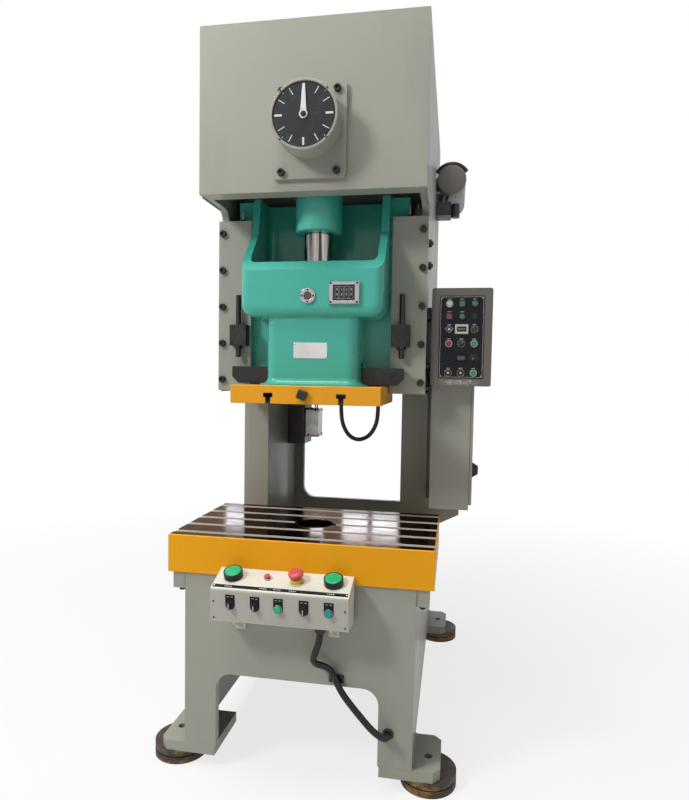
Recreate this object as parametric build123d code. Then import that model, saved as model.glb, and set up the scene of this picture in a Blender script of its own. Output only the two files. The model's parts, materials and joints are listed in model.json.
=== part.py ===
from build123d import *
import math
import os

# Mechanical stamping press with an open C-shaped frame and one crank.
# X runs left to right, Y from front to back and Z up. All sizes are millimetres.
# Sizes are laid out from the ram's axis. Each finished piece then moves along Y, so that the origin
# is on the floor, in the middle of the four anchor holes.

# Welded frame. The heights of all that the crown carries or guides follow from its underside.
crown_top = 2370
crown_height = 528
crown_bottom = crown_top - crown_height
frame_width = 730
side_plate = 25
base_front = -239
frame_rear = 1055
foot_height = 46
foot_plate = 33
bed_top = 637
bed_plate_thickness = 40
apron_thickness = 25
arch_half_width = 260
arch_top = 317
arch_radius = 50
throat_depth = 311
throat_radius = 60
column_inner = 266
column_wall = 20
column_depth = 294
rear_plate_thickness = 25
rear_window_half = 297
rear_window_top = crown_bottom - 592

# Crown, the closed head that holds the crank
crown_front = -143
crown_plate = 25
crown_lip_depth = 36
crown_cover = 8
crown_corner = 41
crown_lip_thickness = 20

# Feet and their pads
foot_inner = 264
foot_outer = 450
foot_length = 200
foot_chamfer = 22
anchor_x = 412
anchor_front = -155
anchor_rear = 955
anchor_hole = 13
anchor_middle = (anchor_front + anchor_rear) / 2
pad_radius = 87
pad_groove = 5
pad_groove_height = 4

# Bolster
bolster_width = 840
bolster_depth = 490
bolster_thickness = 120
die_hole_radius = 63
table_slot_pitch = 100
table_slot_count = 5
table_slot_width = 22
table_slot_neck = 20
table_slot_head = 36
table_slot_head_depth = 16
lug_width = 41
lug_depth = 44
lug_height = 54
lug_inset = 8
table_edge = 3
bed_hole_room = 20

# Slide guides
gib_front = 29
gib_thickness = 32
gib_inner = 246.5
gib_bottom = crown_bottom - 633
gib_top = crown_bottom - 42
guide_inner = 300
guide_rear = 200
guide_back_wall = 60
guide_back_inner = 250
running_gap = 0.1
gib_bolt_x = 349
gib_bolt_first = crown_bottom - 594
gib_bolt_pitch = 127
gib_bolt_count = 5
adjuster_drops = (614, 539, 372, 197, 122)
adjuster_heights = [crown_bottom - drop for drop in adjuster_drops]
adjuster_y = 80

# Bolts
bolt_shank = 6
bolt_hole = 6.3
bolt_head = 10
bolt_head_height = 12
adjuster_radius = 7
adjuster_hole = 7.3
adjuster_length = 15
nut_radius = 13
nut_height = 10
nut_sides = 6

# Slide, called the ram, and the plate under it
ram_plate_half = 242
ram_plate_depth = 356
ram_bottom = crown_bottom - 667
ram_plate_thickness = 58
slide_height = 637
slide_half = 236
slide_front = -117
slide_cheek = 25
rim_height = slide_height * 0.584
box_bottom = slide_height * 0.3515
box_corner = 40
box_edge = 30
pocket_floor = slide_height * 0.42
pocket_back = 130
cheek_lean_y = 117
cheek_lean_height = slide_height * 0.2186
cheek_top_lean = 25
pocket_corner = 18
neck_half = 155
neck_front = -92
neck_edge = 38
foot_half = 180
foot_flange = 5
foot_flare = 22
ram_slot_x = 117.5
ram_slot_width = 16
ram_slot_neck = 21
ram_slot_head = 30
ram_slot_head_depth = 13
shank_radius = 25
clamp_x = -5
clamp_height = 30
clamp_radius = 8
clamp_hole = 8.3
clamp_head = 28
clamp_head_length = 18
clamp_turn = 20
clamp_reach = 3

# Crank, rod and screw
stroke = 120
crank_height = crown_bottom + 199
front_journal = 45
middle_journal = 55
rear_journal = 45
crank_pin = 60
pin_half_length = 40
web_radius = 75
web_thickness = 25
bush_wall = 8
bush_gap = 0.05
bearing_boss = 90
support_boss_step = 15
support_boss_depth = 30
shaft_shoulder = 6
shaft_step = 60
support_front = 215
support_thickness = 40
rod_barrel_radius = 78
rod_barrel_bottom = crown_bottom - 104
rod_barrel_top = crown_bottom + 103
yoke_half_depth = 38
yoke_wall = 30
yoke_corner = 60
yoke_side_room = 6
yoke_end_room = 15
screw_radius = 48
screw_gap = 0.06
screw_top = crown_bottom + 58
screw_end_room = 12
rod_edge = 8
stem_overlap = 20
ball_radius = 60
ball_under_floor = 60
ball_gap = 0.3
ball_cap_outer = 92
ball_cap_thickness = 24
ball_cap_edge = 4

# Dial
dial_plate_half = 117
dial_plate_bottom = crown_bottom + 34
dial_plate_top = crown_bottom + 323
dial_plate_thickness = 12
dial_radius = 105
dial_depth = 76
dial_recess = 6
dial_face_radius = 96.5
dial_face_thickness = 3
dial_bolt_x = 88
dial_bolt_low = crown_bottom + 55
dial_bolt_high = crown_bottom + 301
dial_plate_corner = 14
dial_rim_round = 3
dial_face_gap = 0.3
dial_shaft_room = 2
pointer_length = 87
pointer_base = 20
pointer_tip = 8
pointer_thickness = 3
pointer_gap = 1
pointer_hub = 13
pointer_shaft = 7

# Oil gauge and height indicator, placed from the slide's underside
gauge_x = -7
gauge_rise = box_bottom + 63
gauge_radius = 25
gauge_lens = 13
gauge_thickness = 6
gauge_recess = 3
indicator_left = 63
indicator_right = 161
indicator_low = box_bottom + 36
indicator_high = box_bottom + 107
indicator_depth = 12
indicator_edge = 2
indicator_side_frame = 14
indicator_end_frame = 11
indicator_recess = 4

# Knock-out bar and its stoppers
bar_half_length = 295
bar_height = 57
bar_depth = 40
bar_lift = 15
bar_corner = 22
bar_gap = 0.3
bar_low_round = 6
bar_top_round = 3
stopper_x = 285
stopper_y = 11
stopper_radius = 9
stopper_bottom = crown_bottom - 516
stopper_top = crown_bottom - 301
stopper_block_bottom = crown_bottom - 476
stopper_block_height = 72
stopper_block_inner = 251
stopper_block_width = 62
stopper_block_depth = 34
stopper_gap = 0.3
stopper_nut_radius = 15
stopper_block_corner = 4
stopper_tip = 1.5

# Flywheel, clutch, motor and belts
flywheel_radius = 300
flywheel_width = 110
flywheel_front = frame_rear + 30
flywheel_rim = 60
flywheel_web = 34
flywheel_hub = 85
flywheel_holes = 6
flywheel_hole_radius = 38
flywheel_hole_circle = 162
clutch_radius = 170
clutch_width = 56
clutch_gap = 3
clutch_edge = 6
motor_height = crown_bottom - 362
motor_radius = 118
motor_length = 330
motor_flange = 150
motor_flange_thickness = 16
motor_fin_count = 20
motor_fin_height = 10
motor_fin_width = 6
motor_shaft = 19
motor_shaft_gap = 0.5
motor_shaft_length = 60
motor_shaft_depth = 50
fin_from_back = 40
fin_from_flange = 20
pulley_radius = 78
belt_count = 3
belt_pitch = 30
belt_width = 16
belt_thickness = 10
groove_depth = 12
groove_gap = 0.4
guard_clearance = 22
guard_wall = 3
guard_depth = 220
guard_pulley_radius = 120

# Console with the two-hand buttons
console_left = -237
console_right = 181
console_depth = 100
console_gap = 8
console_back_top = 667
console_front_top = 631
console_front_bottom = 530
console_front_lean = 6
console_corner = 10
console_floor_fall = 8
console_wall = 3
console_back_corner = 4
stem_hole_depth = 20
palm_xs = (-185, 126)
reset_x = -78
stop_x = 12
top_device_y = -288
front_device_xs = (-175, -99, -28, 49, 123)
front_device_z = 584
palm_guard_radius = 29
palm_guard_wall = 3
palm_guard_height = 20
palm_radius = 21
palm_height = 17
palm_stem = 6
palm_travel = 5
palm_round = 5
palm_stem_depth = 8
stop_radius = 20
stop_stem_radius = 12
stop_height = 34
stop_cap_height = 14
stop_collar_radius = 22
stop_collar_height = 9
stop_stem_depth = 6
stop_round = 6
reset_radius = 10
reset_height = 9
reset_travel = 2.5
reset_cap = 7
bezel_height = 5
bezel_floor = 0.2
device_floor = 0.5
device_bezel = 15
device_bezel_height = 4
device_cap = 11
device_cap_height = 9
device_travel = 2.5
knob_length = 20
knob_width = 8
knob_height = 15
knob_base = 5
device_gap = 0.3
bracket_width = 34
bracket_thickness = 8
bracket_drop = 50
bracket_reach = 70
bracket_back_height = 60
bracket_inset = 60

# Control panel and electric cabinet
panel_left = 381
panel_right = 581
panel_front = 55
panel_depth = 70
panel_bottom = crown_bottom - 603
panel_top = crown_bottom - 276
panel_margin = 26
panel_arm = 25
panel_wall = 3
panel_row_drops = (53, 95, 137, 185, 233, 283)
panel_column_pitch = 41.5
panel_face_thickness = 3
panel_face_depth = 2
panel_corner = 8
panel_arm_inset = 60
panel_columns = 3
panel_device_height = 10
counter_row = 2
counter_half = (22, 16)
counter_height = 6
display_row = 4
display_half = (16, 10)
display_height = 4
cabinet_right = 520
cabinet_depth = 400
cabinet_standoff = 19
cabinet_bottom = 804
cabinet_top = 1450
cabinet_door = 10
cabinet_wall = 3
cabinet_door_gap = 0.5
door_side_room = 2
door_end_room = 18
handle_height = 942
handle_inset = 40
handle_reach = 21
handle_pin = 8
handle_rose = 18
handle_rose_height = 8
handle_half_width = 6
handle_base_half = 27
handle_tip_half = 14
handle_round = 3
door_edge = 3
mount_bar_places = (330, 480)
mount_bar_width = 30
shelf_reach = 125
shelf_thickness = 10
shelf_flange = 59
shelf_drop = 64
hinge_x = 526
hinge_back = 7
hinge_heights = (890, 1320)
hinge_knuckle = 20
hinge_radius = 5
hinge_pin = 2.5
hinge_gap = 0.5
hinge_leaf = 4
hinge_leaf_width = 26
hinge_leaf_gap = 2

# Air and oil supply
receiver_radius = 58
receiver_length = 400
receiver_front = 605
receiver_height = crown_bottom + 253
receiver_saddle = 30
receiver_off_side = 6
receiver_end_round = 22
saddle_from_front = 70
saddle_from_rear = 100
valve_front = 605
valve_depth = 90
valve_bottom = crown_bottom + 106
valve_height = 56
valve_reach = 64
silencer_radius = 18
silencer_neck_half = 8
silencer_neck_low = 18
silencer_neck_high = 36
valve_corner = 4
oiler_front = 615
oiler_depth = 140
oiler_bottom = crown_bottom - 881
oiler_height = 220
oiler_reach = 148
pump_reach = 56
pump_bottom = crown_bottom - 852
pump_height = 130
pump_from_front = 20
pump_from_rear = 30
pump_round = 10
oiler_corner = 8

# Conduit from the console to the right leg, and the oil hose behind the ram
conduit_diameter = 20
conduit_hole_x = 291
conduit_hole_z = 185
gland_radius = 17
clip_point = 7
clip_width = 46
clip_height = 24
clip_room = 0.6
socket_hole = 13
hose_diameter = 15
hose_left = 49
hose_right = 188
hose_plane = 199
hose_top = crown_bottom - 658
hose_fitting = 20

# Values that follow from the sizes above
half = frame_width / 2
inner_half = half - side_plate
base_bottom = foot_height + foot_plate
bolster_top = bed_top + bolster_thickness
gib_back = gib_front + gib_thickness
slide_bottom = ram_bottom + ram_plate_thickness
slide_top = slide_bottom + slide_height
crank_throw = stroke / 2
pin_height = crank_height + crank_throw
bar_bottom = slide_bottom + 4
ball_height = slide_bottom + pocket_floor - ball_under_floor


def slab(x, y, z):
    """Block between a low and a high limit along each axis."""
    size = [high - low for low, high in (x, y, z)]
    middle = [(low + high) / 2 for low, high in (x, y, z)]
    return Pos(*middle) * Box(*size)


def outline(points, radii=0):
    """Flat closed face through the points, with a radius at each corner."""
    return make_face(FilletPolyline(*points, radius=radii, close=True))


def side_profile(points, x_low, x_high, radii=0):
    """Solid with the given Y and Z outline between two X limits."""
    plane = Plane(origin=(x_low, 0, 0), x_dir=(0, 1, 0), z_dir=(1, 0, 0))
    return extrude(plane * outline(points, radii), x_high - x_low)


def front_profile(points, y_low, y_high, radii=0):
    """Solid with the given X and Z outline between two Y limits."""
    plane = Plane(origin=(0, y_high, 0), x_dir=(1, 0, 0), z_dir=(0, -1, 0))
    return extrude(plane * outline(points, radii), y_high - y_low)


def plan_profile(points, z_low, z_high, radii=0):
    """Solid with the given X and Y outline between two heights."""
    return extrude(Pos(0, 0, z_low) * outline(points, radii), z_high - z_low)


def rod_x(y, z, radius, x_low, x_high):
    """Round bar along X."""
    return Pos((x_low + x_high) / 2, y, z) * Rot(0, 90, 0) * Cylinder(radius, x_high - x_low)


def rod_y(x, z, radius, y_low, y_high):
    """Round bar along Y."""
    return Pos(x, (y_low + y_high) / 2, z) * Rot(90, 0, 0) * Cylinder(radius, y_high - y_low)


def rod_z(x, y, radius, z_low, z_high):
    """Round bar along Z."""
    return Pos(x, y, (z_low + z_high) / 2) * Cylinder(radius, z_high - z_low)


def nut_x(y, z, radius, x_low, x_high):
    """Six-sided nut along X."""
    plane = Plane(origin=(x_low, y, z), x_dir=(0, 1, 0), z_dir=(1, 0, 0))
    return extrude(plane * RegularPolygon(radius, nut_sides), x_high - x_low)


def mirrored(shape):
    """The same shape on the other side of the middle plane."""
    return mirror(shape, about=Plane.YZ)


def both_sides(shape):
    """The right piece and its mirror image on the left."""
    return [shape, mirrored(shape)]


def save(name, *solids):
    """Write one sub-part, made of one or more separate solids."""
    pieces = []
    for item in solids:
        pieces.extend((Pos(0, -anchor_middle, 0) * item).solids())
    export_step(Compound(children=pieces), f"parts/{name}.step")


def gib_bolt_heights():
    return [gib_bolt_first + step * gib_bolt_pitch for step in range(gib_bolt_count)]


# Side plates, each with its two feet and the lugs that carry the bolster's bolts

def foot(y_front):
    y_back = y_front + foot_length
    plate = plan_profile(
        [(foot_inner, y_front), (foot_outer - foot_chamfer, y_front), (foot_outer, y_front + foot_chamfer),
         (foot_outer, y_back - foot_chamfer), (foot_outer - foot_chamfer, y_back), (foot_inner, y_back)],
        foot_height, base_bottom)
    return plate


def lug_centres():
    reach = bolster_depth / 2 - lug_depth / 2 - lug_inset
    return (-reach, reach)


def side_plate_right():
    front = base_front + apron_thickness
    points = [(front, base_bottom), (frame_rear, base_bottom), (frame_rear, crown_top - crown_cover),
              (crown_front + crown_plate, crown_top - crown_cover), (crown_front + crown_plate, crown_bottom),
              (gib_back, crown_bottom), (gib_back, gib_bottom), (throat_depth, gib_bottom),
              (throat_depth, bed_top), (front, bed_top)]
    radii = [0, 0, 0, 0, 0, crown_corner, 0, throat_radius, throat_radius, 0]
    plate = side_profile(points, inner_half, half, radii)
    plate += foot(base_front)
    plate += foot(frame_rear - foot_length)
    for y in (anchor_front, anchor_rear):
        plate -= rod_z(anchor_x, y, anchor_hole, foot_height, base_bottom)
    for y in lug_centres():
        plate += slab((half, half + lug_width), (y - lug_depth / 2, y + lug_depth / 2),
                      (bed_top - lug_height, bed_top))
        plate -= rod_z(half + lug_width / 2, y, bolt_hole, bed_top - lug_height, bed_top)
    for z in adjuster_heights:
        plate -= rod_x(adjuster_y, z, adjuster_hole, inner_half, half)
    return plate


def cabinet_shelf():
    reach = half + shelf_reach
    top = cabinet_bottom - shelf_thickness
    low = cabinet_bottom - shelf_flange
    shelf = slab((half, reach), (throat_depth, cabinet_rear), (top, cabinet_bottom))
    shelf += slab((half, reach), (throat_depth, throat_depth + shelf_thickness), (low, top))
    for y in (throat_depth, cabinet_rear - shelf_thickness):
        shelf += front_profile([(half, low), (reach, low), (half, low - shelf_drop)],
                               y, y + shelf_thickness)
    return shelf + slab((half, reach), (cabinet_rear - shelf_thickness, cabinet_rear), (low, top))


# Apron: the front plate of the base, with its arch

def apron():
    points = [(-half, base_bottom), (-arch_half_width, base_bottom), (-arch_half_width, arch_top),
              (arch_half_width, arch_top), (arch_half_width, base_bottom), (half, base_bottom),
              (half, bed_top), (-half, bed_top)]
    radii = [0, 0, arch_radius, arch_radius, 0, 0, 0, 0]
    plate = front_profile(points, base_front, base_front + apron_thickness, radii)
    return plate - rod_y(conduit_hole_x, conduit_hole_z, socket_hole,
                         base_front, base_front + apron_thickness)


# Rear plate, with the open window behind the throat, an arch and the rear bearing's seat

def rear_plate():
    low = base_bottom
    points = [(-inner_half, low), (-arch_half_width, low), (-arch_half_width, arch_top),
              (arch_half_width, arch_top), (arch_half_width, low), (inner_half, low),
              (inner_half, crown_top - crown_cover), (-inner_half, crown_top - crown_cover)]
    radii = [0, 0, arch_radius, arch_radius, 0, 0, 0, 0]
    y_front = frame_rear - rear_plate_thickness
    plate = front_profile(points, y_front, frame_rear, radii)
    window = front_profile(
        [(-rear_window_half, bed_top), (rear_window_half, bed_top), (rear_window_half, rear_window_top),
         (-rear_window_half, rear_window_top)], y_front, frame_rear, throat_radius)
    plate -= window
    plate += rod_y(0, crank_height, bearing_boss, y_front - rear_plate_thickness, y_front)
    plate -= rod_y(0, crank_height, rear_journal + bush_wall, y_front - rear_plate_thickness, frame_rear)
    plate -= rod_y(0, motor_height, motor_flange / 2, y_front, frame_rear)
    return plate


def column_channel():
    outer = inner_half
    points = [(outer, throat_depth), (column_inner, throat_depth),
              (column_inner, throat_depth + column_depth),
              (outer, throat_depth + column_depth),
              (outer, throat_depth + column_depth - column_wall),
              (column_inner + column_wall, throat_depth + column_depth - column_wall),
              (column_inner + column_wall, throat_depth + column_wall), (outer, throat_depth + column_wall)]
    return plan_profile(points, bed_top, crown_bottom)


def bed_plate():
    plate = slab((-inner_half, inner_half), (base_front + apron_thickness, throat_depth),
                 (bed_top - bed_plate_thickness, bed_top))
    return plate - rod_z(0, 0, die_hole_radius + bed_hole_room, bed_top - bed_plate_thickness, bed_top)


def crown_front_plate():
    back = crown_front + crown_plate
    plate = slab((-half, half), (crown_front, back), (crown_bottom, crown_top))
    plate += slab((-inner_half, inner_half), (back, back + crown_lip_depth),
                  (crown_bottom, crown_bottom + crown_lip_thickness))
    plate += rod_y(0, crank_height, bearing_boss, back, back + bearing_boss / 2)
    return plate - rod_y(0, crank_height, front_journal + bush_wall, crown_front, back + bearing_boss / 2)


def crank_support():
    back = support_front + support_thickness
    plate = slab((-inner_half, inner_half), (support_front, back), (crown_bottom, crown_top - crown_cover))
    plate += rod_y(0, crank_height, bearing_boss + support_boss_step, back, back + support_boss_depth)
    return plate - rod_y(0, crank_height, middle_journal + bush_wall,
                         support_front, back + support_boss_depth)


# Rubber pads under the feet, each with a groove round the middle

def pad():
    low = (foot_height - pad_groove_height) / 2
    high = low + pad_groove_height
    profile = Plane.XZ * outline([
        (anchor_hole, 0), (pad_radius, 0), (pad_radius, low), (pad_radius - pad_groove, low),
        (pad_radius - pad_groove, high), (pad_radius, high), (pad_radius, foot_height),
        (anchor_hole, foot_height)])
    return revolve(profile, Axis.Z)


# Bolster with five slots for clamping bolts across it, and the hole for the slug or cushion

def table_slot_places():
    first = -(table_slot_count - 1) / 2 * table_slot_pitch
    return [first + index * table_slot_pitch for index in range(table_slot_count)]


def bolster():
    x = bolster_width / 2
    y = bolster_depth / 2
    block = slab((-x, x), (-y, y), (bed_top, bolster_top))
    block = chamfer(block.edges().group_by(Axis.Z)[-1], table_edge)
    for middle in table_slot_places():
        neck = bolster_top - table_slot_neck
        head = neck - table_slot_head_depth
        block -= slab((-x, x), (middle - table_slot_width / 2, middle + table_slot_width / 2),
                      (neck, bolster_top))
        block -= slab((-x, x), (middle - table_slot_head / 2, middle + table_slot_head / 2), (head, neck))
    return block - rod_z(0, 0, die_hole_radius, bed_top, bolster_top)


# Guides: an angled block behind and beside the ram's wing, and a gib plate in front of it

def guide_block():
    rear = guide_rear + guide_back_wall
    points = [(guide_inner, gib_back), (inner_half, gib_back), (inner_half, rear),
              (guide_back_inner, rear), (guide_back_inner, guide_rear), (guide_inner, guide_rear)]
    return plan_profile(points, gib_bottom, gib_top)


def gib_plate():
    plate = slab((gib_inner, half), (gib_front, gib_back), (gib_bottom, gib_top))
    for z in gib_bolt_heights():
        plate -= rod_y(gib_bolt_x, z, bolt_hole, gib_front, gib_back)
    return plate


# Fasteners of the frame

def bolt_y(x, z, head_front, shank_back):
    seat = head_front + bolt_head_height
    return rod_y(x, z, bolt_head, head_front, seat) + rod_y(x, z, bolt_shank, seat, shank_back)


def frame_bolts():
    bolts = []
    for z in gib_bolt_heights():
        bolts += both_sides(bolt_y(gib_bolt_x, z, gib_front - bolt_head_height, gib_back))
    for z in (dial_bolt_low, dial_bolt_high):
        bolts += both_sides(bolt_y(dial_bolt_x, z, dial_plate_front - bolt_head_height, crown_front))
    for z in adjuster_heights:
        screw = rod_x(adjuster_y, z, adjuster_radius, inner_half, half + adjuster_length)
        screw += nut_x(adjuster_y, z, nut_radius, half, half + nut_height)
        bolts += both_sides(screw)
    for y in lug_centres():
        x = half + lug_width / 2
        low = bed_top - lug_height
        bolt = rod_z(x, y, bolt_shank, low, bed_top)
        bolt += rod_z(x, y, bolt_head, low - bolt_head_height, low)
        bolts += both_sides(bolt)
    return bolts


def stopper_nut():
    low = stopper_block_bottom - nut_height
    nut = Pos(stopper_x, stopper_y, low) * extrude(RegularPolygon(stopper_nut_radius, nut_sides), nut_height)
    return nut - rod_z(stopper_x, stopper_y, stopper_radius + stopper_gap, low, stopper_block_bottom)


def stopper_block():
    block = slab((stopper_block_inner, stopper_block_inner + stopper_block_width),
                 (gib_front - stopper_block_depth, gib_front),
                 (stopper_block_bottom, stopper_block_bottom + stopper_block_height))
    block = fillet(block.edges().filter_by(Axis.Z).group_by(Axis.Y)[0], stopper_block_corner)
    return block - rod_z(stopper_x, stopper_y, stopper_radius + stopper_gap,
                         stopper_block_bottom, stopper_block_bottom + stopper_block_height)


def stopper_rod():
    rod = rod_z(stopper_x, stopper_y, stopper_radius, stopper_bottom, stopper_top)
    return chamfer(rod.edges().filter_by(GeomType.CIRCLE), stopper_tip)


# Crankshaft with its throw straight up, which is the top of the stroke

def crankshaft():
    front_seat = crown_front + crown_plate + bearing_boss / 2
    web_front = -pin_half_length - web_thickness
    web_back = pin_half_length + web_thickness
    shaft = rod_y(0, crank_height, pointer_shaft, pointer_front(), crown_front)
    shaft += rod_y(0, crank_height, front_journal, crown_front, front_seat)
    shaft += rod_y(0, crank_height, front_journal + shaft_shoulder, front_seat, web_front)
    step = support_front + support_thickness + shaft_step
    shaft += rod_y(0, crank_height, middle_journal, web_back, step)
    shaft += rod_y(0, crank_height, rear_journal, step,
                   flywheel_front + flywheel_width + clutch_gap + clutch_width)
    shaft += rod_y(0, pin_height, crank_pin, -pin_half_length, pin_half_length)
    for low in (web_front, pin_half_length):
        web = rod_y(0, crank_height, web_radius, low, low + web_thickness)
        web += rod_y(0, pin_height, web_radius, low, low + web_thickness)
        web += slab((-web_radius, web_radius), (low, low + web_thickness), (crank_height, pin_height))
        shaft += web
    return shaft


def bush(radius, y_low, y_high):
    return (rod_y(0, crank_height, radius + bush_wall, y_low, y_high)
            - rod_y(0, crank_height, radius + bush_gap, y_low, y_high))


# Connecting rod: a round barrel that takes the screw, and a yoke round the crank pin

def connecting_rod():
    room_x = crank_throw + crank_pin + yoke_side_room
    room_z = crank_pin + yoke_end_room
    x = room_x + yoke_wall
    z = room_z + yoke_wall
    yoke = front_profile([(-x, pin_height - z), (x, pin_height - z),
                          (x, pin_height + z), (-x, pin_height + z)],
                         -yoke_half_depth, yoke_half_depth, yoke_corner)
    window_radius = crank_pin
    yoke -= front_profile([(-room_x, pin_height - room_z), (room_x, pin_height - room_z),
                           (room_x, pin_height + room_z), (-room_x, pin_height + room_z)],
                          -yoke_half_depth, yoke_half_depth, window_radius)
    stem = slab((-rod_barrel_radius, rod_barrel_radius), (-yoke_half_depth, yoke_half_depth),
                (rod_barrel_top - stem_overlap, pin_height - z + yoke_wall / 2))
    barrel = rod_z(0, 0, rod_barrel_radius, rod_barrel_bottom, rod_barrel_top)
    barrel = fillet(barrel.edges().filter_by(GeomType.CIRCLE), rod_edge)
    rod = yoke + stem + barrel
    return rod - rod_z(0, 0, screw_radius + screw_gap, rod_barrel_bottom, screw_top + screw_end_room)


def adjusting_screw():
    screw = rod_z(0, 0, screw_radius, ball_height, screw_top)
    return screw + Pos(0, 0, ball_height) * Sphere(ball_radius)


def ball_cap():
    floor = slide_bottom + pocket_floor
    ring = rod_z(0, 0, ball_cap_outer, floor, floor + ball_cap_thickness)
    ring -= rod_z(0, 0, screw_radius + ball_gap, floor, floor + ball_cap_thickness)
    upper = ring.edges().filter_by(GeomType.CIRCLE).group_by(Axis.Z)[-1]
    return chamfer(upper.sort_by(SortBy.LENGTH)[-1], ball_cap_edge)


# Slide casting: an open box in front, a neck that flares into its foot, and a wing each side

def slide_casting():
    low = slide_bottom
    box_low = low + box_bottom
    front_box = front_profile([(-slide_half, box_low), (slide_half, box_low), (slide_half, slide_top),
                               (-slide_half, slide_top)], slide_front, guide_rear - running_gap,
                              [box_corner, box_corner, 0, 0])
    rim = front_box.faces().sort_by(Axis.Y)[0].edges()
    rim = [edge for edge in rim if edge.center().Z < slide_top - 1]
    front_box = fillet(rim, box_edge)

    neck = slab((-neck_half, neck_half), (neck_front, guide_rear - running_gap), (low, box_low + box_corner))
    neck = fillet(neck.edges().filter_by(Axis.Z).group_by(Axis.Y)[0], neck_edge)
    foot_plate_front = neck_front - foot_flare
    foot_block = slab((-foot_half, foot_half), (foot_plate_front, guide_rear - running_gap),
                      (low, low + foot_flange))
    foot_block = fillet(foot_block.edges().filter_by(Axis.Z).group_by(Axis.Y)[0], neck_edge + foot_flare)
    neck += foot_block
    joints = neck.edges().filter_by_position(Axis.Z, low + foot_flange - 0.1, low + foot_flange + 0.1)
    inner = [edge for edge in joints
             if abs(edge.center().X) < neck_half + 1 and neck_front - 1 < edge.center().Y < guide_rear - 1]
    neck = fillet(inner, foot_flare - 1)

    wings = slab((-guide_inner + running_gap, guide_inner - running_gap),
                 (gib_back + running_gap, guide_rear - running_gap), (low, slide_top))
    body = front_box + neck + wings

    rim_top = low + rim_height
    pocket = slab((slide_cheek - slide_half, slide_half - slide_cheek),
                  (slide_front + slide_cheek, pocket_back), (low + pocket_floor, slide_top))
    pocket = fillet(pocket.edges().filter_by(Axis.Z), pocket_corner)
    body -= pocket
    lean = side_profile([(slide_front - 1, rim_top), (slide_front, rim_top),
                         (slide_front + cheek_lean_y, rim_top + cheek_lean_height),
                         (slide_front + cheek_lean_y + cheek_top_lean, slide_top),
                         (slide_front - 1, slide_top)],
                        -slide_half, slide_half)
    body -= lean
    body -= slab((-foot_half, foot_half), (-bar_depth / 2 - bar_gap, bar_depth / 2 + bar_gap),
                 (bar_bottom - bar_gap, bar_bottom + bar_height + bar_lift + bar_gap))
    body -= rod_z(0, 0, shank_radius, low, bar_bottom)
    body -= Pos(0, 0, ball_height) * Sphere(ball_radius + ball_gap)
    body -= rod_z(0, 0, ball_radius + ball_gap, ball_height, low + pocket_floor)
    return body


def ram_plate():
    y = ram_plate_depth / 2
    plate = slab((-ram_plate_half, ram_plate_half), (-y, y), (ram_bottom, slide_bottom))
    plate = chamfer(plate.edges(), 1.5)
    neck = ram_bottom + ram_slot_neck
    for x in (-ram_slot_x, ram_slot_x):
        plate -= slab((x - ram_slot_width / 2, x + ram_slot_width / 2), (-y, y), (ram_bottom, neck))
        plate -= slab((x - ram_slot_head / 2, x + ram_slot_head / 2), (-y, y),
                      (neck, neck + ram_slot_head_depth))
    plate -= rod_z(0, 0, shank_radius, ram_bottom, slide_bottom)
    for x in (hose_left, hose_right):
        plate += slab((x - hose_fitting / 2, x + hose_fitting / 2), (y, hose_plane + hose_fitting / 2),
                      (hose_top, hose_top + hose_fitting))
    return plate - rod_y(clamp_x, ram_bottom + clamp_height, clamp_hole, -y, -shank_radius)


def shank_bolt():
    y = -ram_plate_depth / 2
    z = ram_bottom + clamp_height
    head = Rot(0, clamp_turn, 0) * Box(clamp_head, clamp_head_length, clamp_head)
    head = Pos(clamp_x, y - clamp_head_length / 2, z) * head
    head = chamfer(head.edges().group_by(Axis.Y)[0], 2)
    return head + rod_y(clamp_x, z, clamp_radius, y, -shank_radius - clamp_reach)


def knockout_bar():
    x = bar_half_length
    low = bar_bottom
    high = low + bar_height
    points = [(-x + bar_corner, low), (x - bar_corner, low), (x, low + bar_corner), (x, high),
              (-x, high), (-x, low + bar_corner)]
    radii = [bar_low_round] * 3 + [bar_top_round] * 2 + [bar_low_round]
    return front_profile(points, -bar_depth / 2, bar_depth / 2, radii)


# Dial: square flange and round drum in one casting, a face and a pointer

def dial_housing():
    plate = front_profile([(-dial_plate_half, dial_plate_bottom), (dial_plate_half, dial_plate_bottom),
                           (dial_plate_half, dial_plate_top), (-dial_plate_half, dial_plate_top)],
                          dial_plate_front, crown_front, dial_plate_corner)
    drum = rod_y(0, crank_height, dial_radius, dial_front, dial_plate_front)
    drum = fillet(drum.edges().group_by(Axis.Y)[0], dial_rim_round)
    drum -= rod_y(0, crank_height, dial_face_radius + dial_face_gap, dial_front, dial_front + dial_recess)
    body = plate + drum
    body -= rod_y(0, crank_height, pointer_shaft + dial_shaft_room, dial_front, crown_front)
    for z in (dial_bolt_low, dial_bolt_high):
        for x in (-dial_bolt_x, dial_bolt_x):
            body -= rod_y(x, z, bolt_hole, dial_plate_front, crown_front)
    return body


def dial_face():
    back = dial_front + dial_recess
    disc = rod_y(0, crank_height, dial_face_radius, back - dial_face_thickness, back)
    return disc - rod_y(0, crank_height, pointer_shaft + dial_shaft_room, back - dial_face_thickness, back)


def pointer_front():
    return dial_front + dial_recess - dial_face_thickness - pointer_gap - pointer_thickness


def pointer():
    front = pointer_front()
    back = front + pointer_thickness
    needle = front_profile([(-pointer_base / 2, crank_height), (pointer_base / 2, crank_height),
                            (pointer_tip / 2, crank_height + pointer_length),
                            (-pointer_tip / 2, crank_height + pointer_length)], front, back)
    needle += rod_y(0, crank_height, pointer_hub, front, back)
    return needle - rod_y(0, crank_height, pointer_shaft, front, back)


# Oil gauge and height indicator on the slide's front

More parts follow.
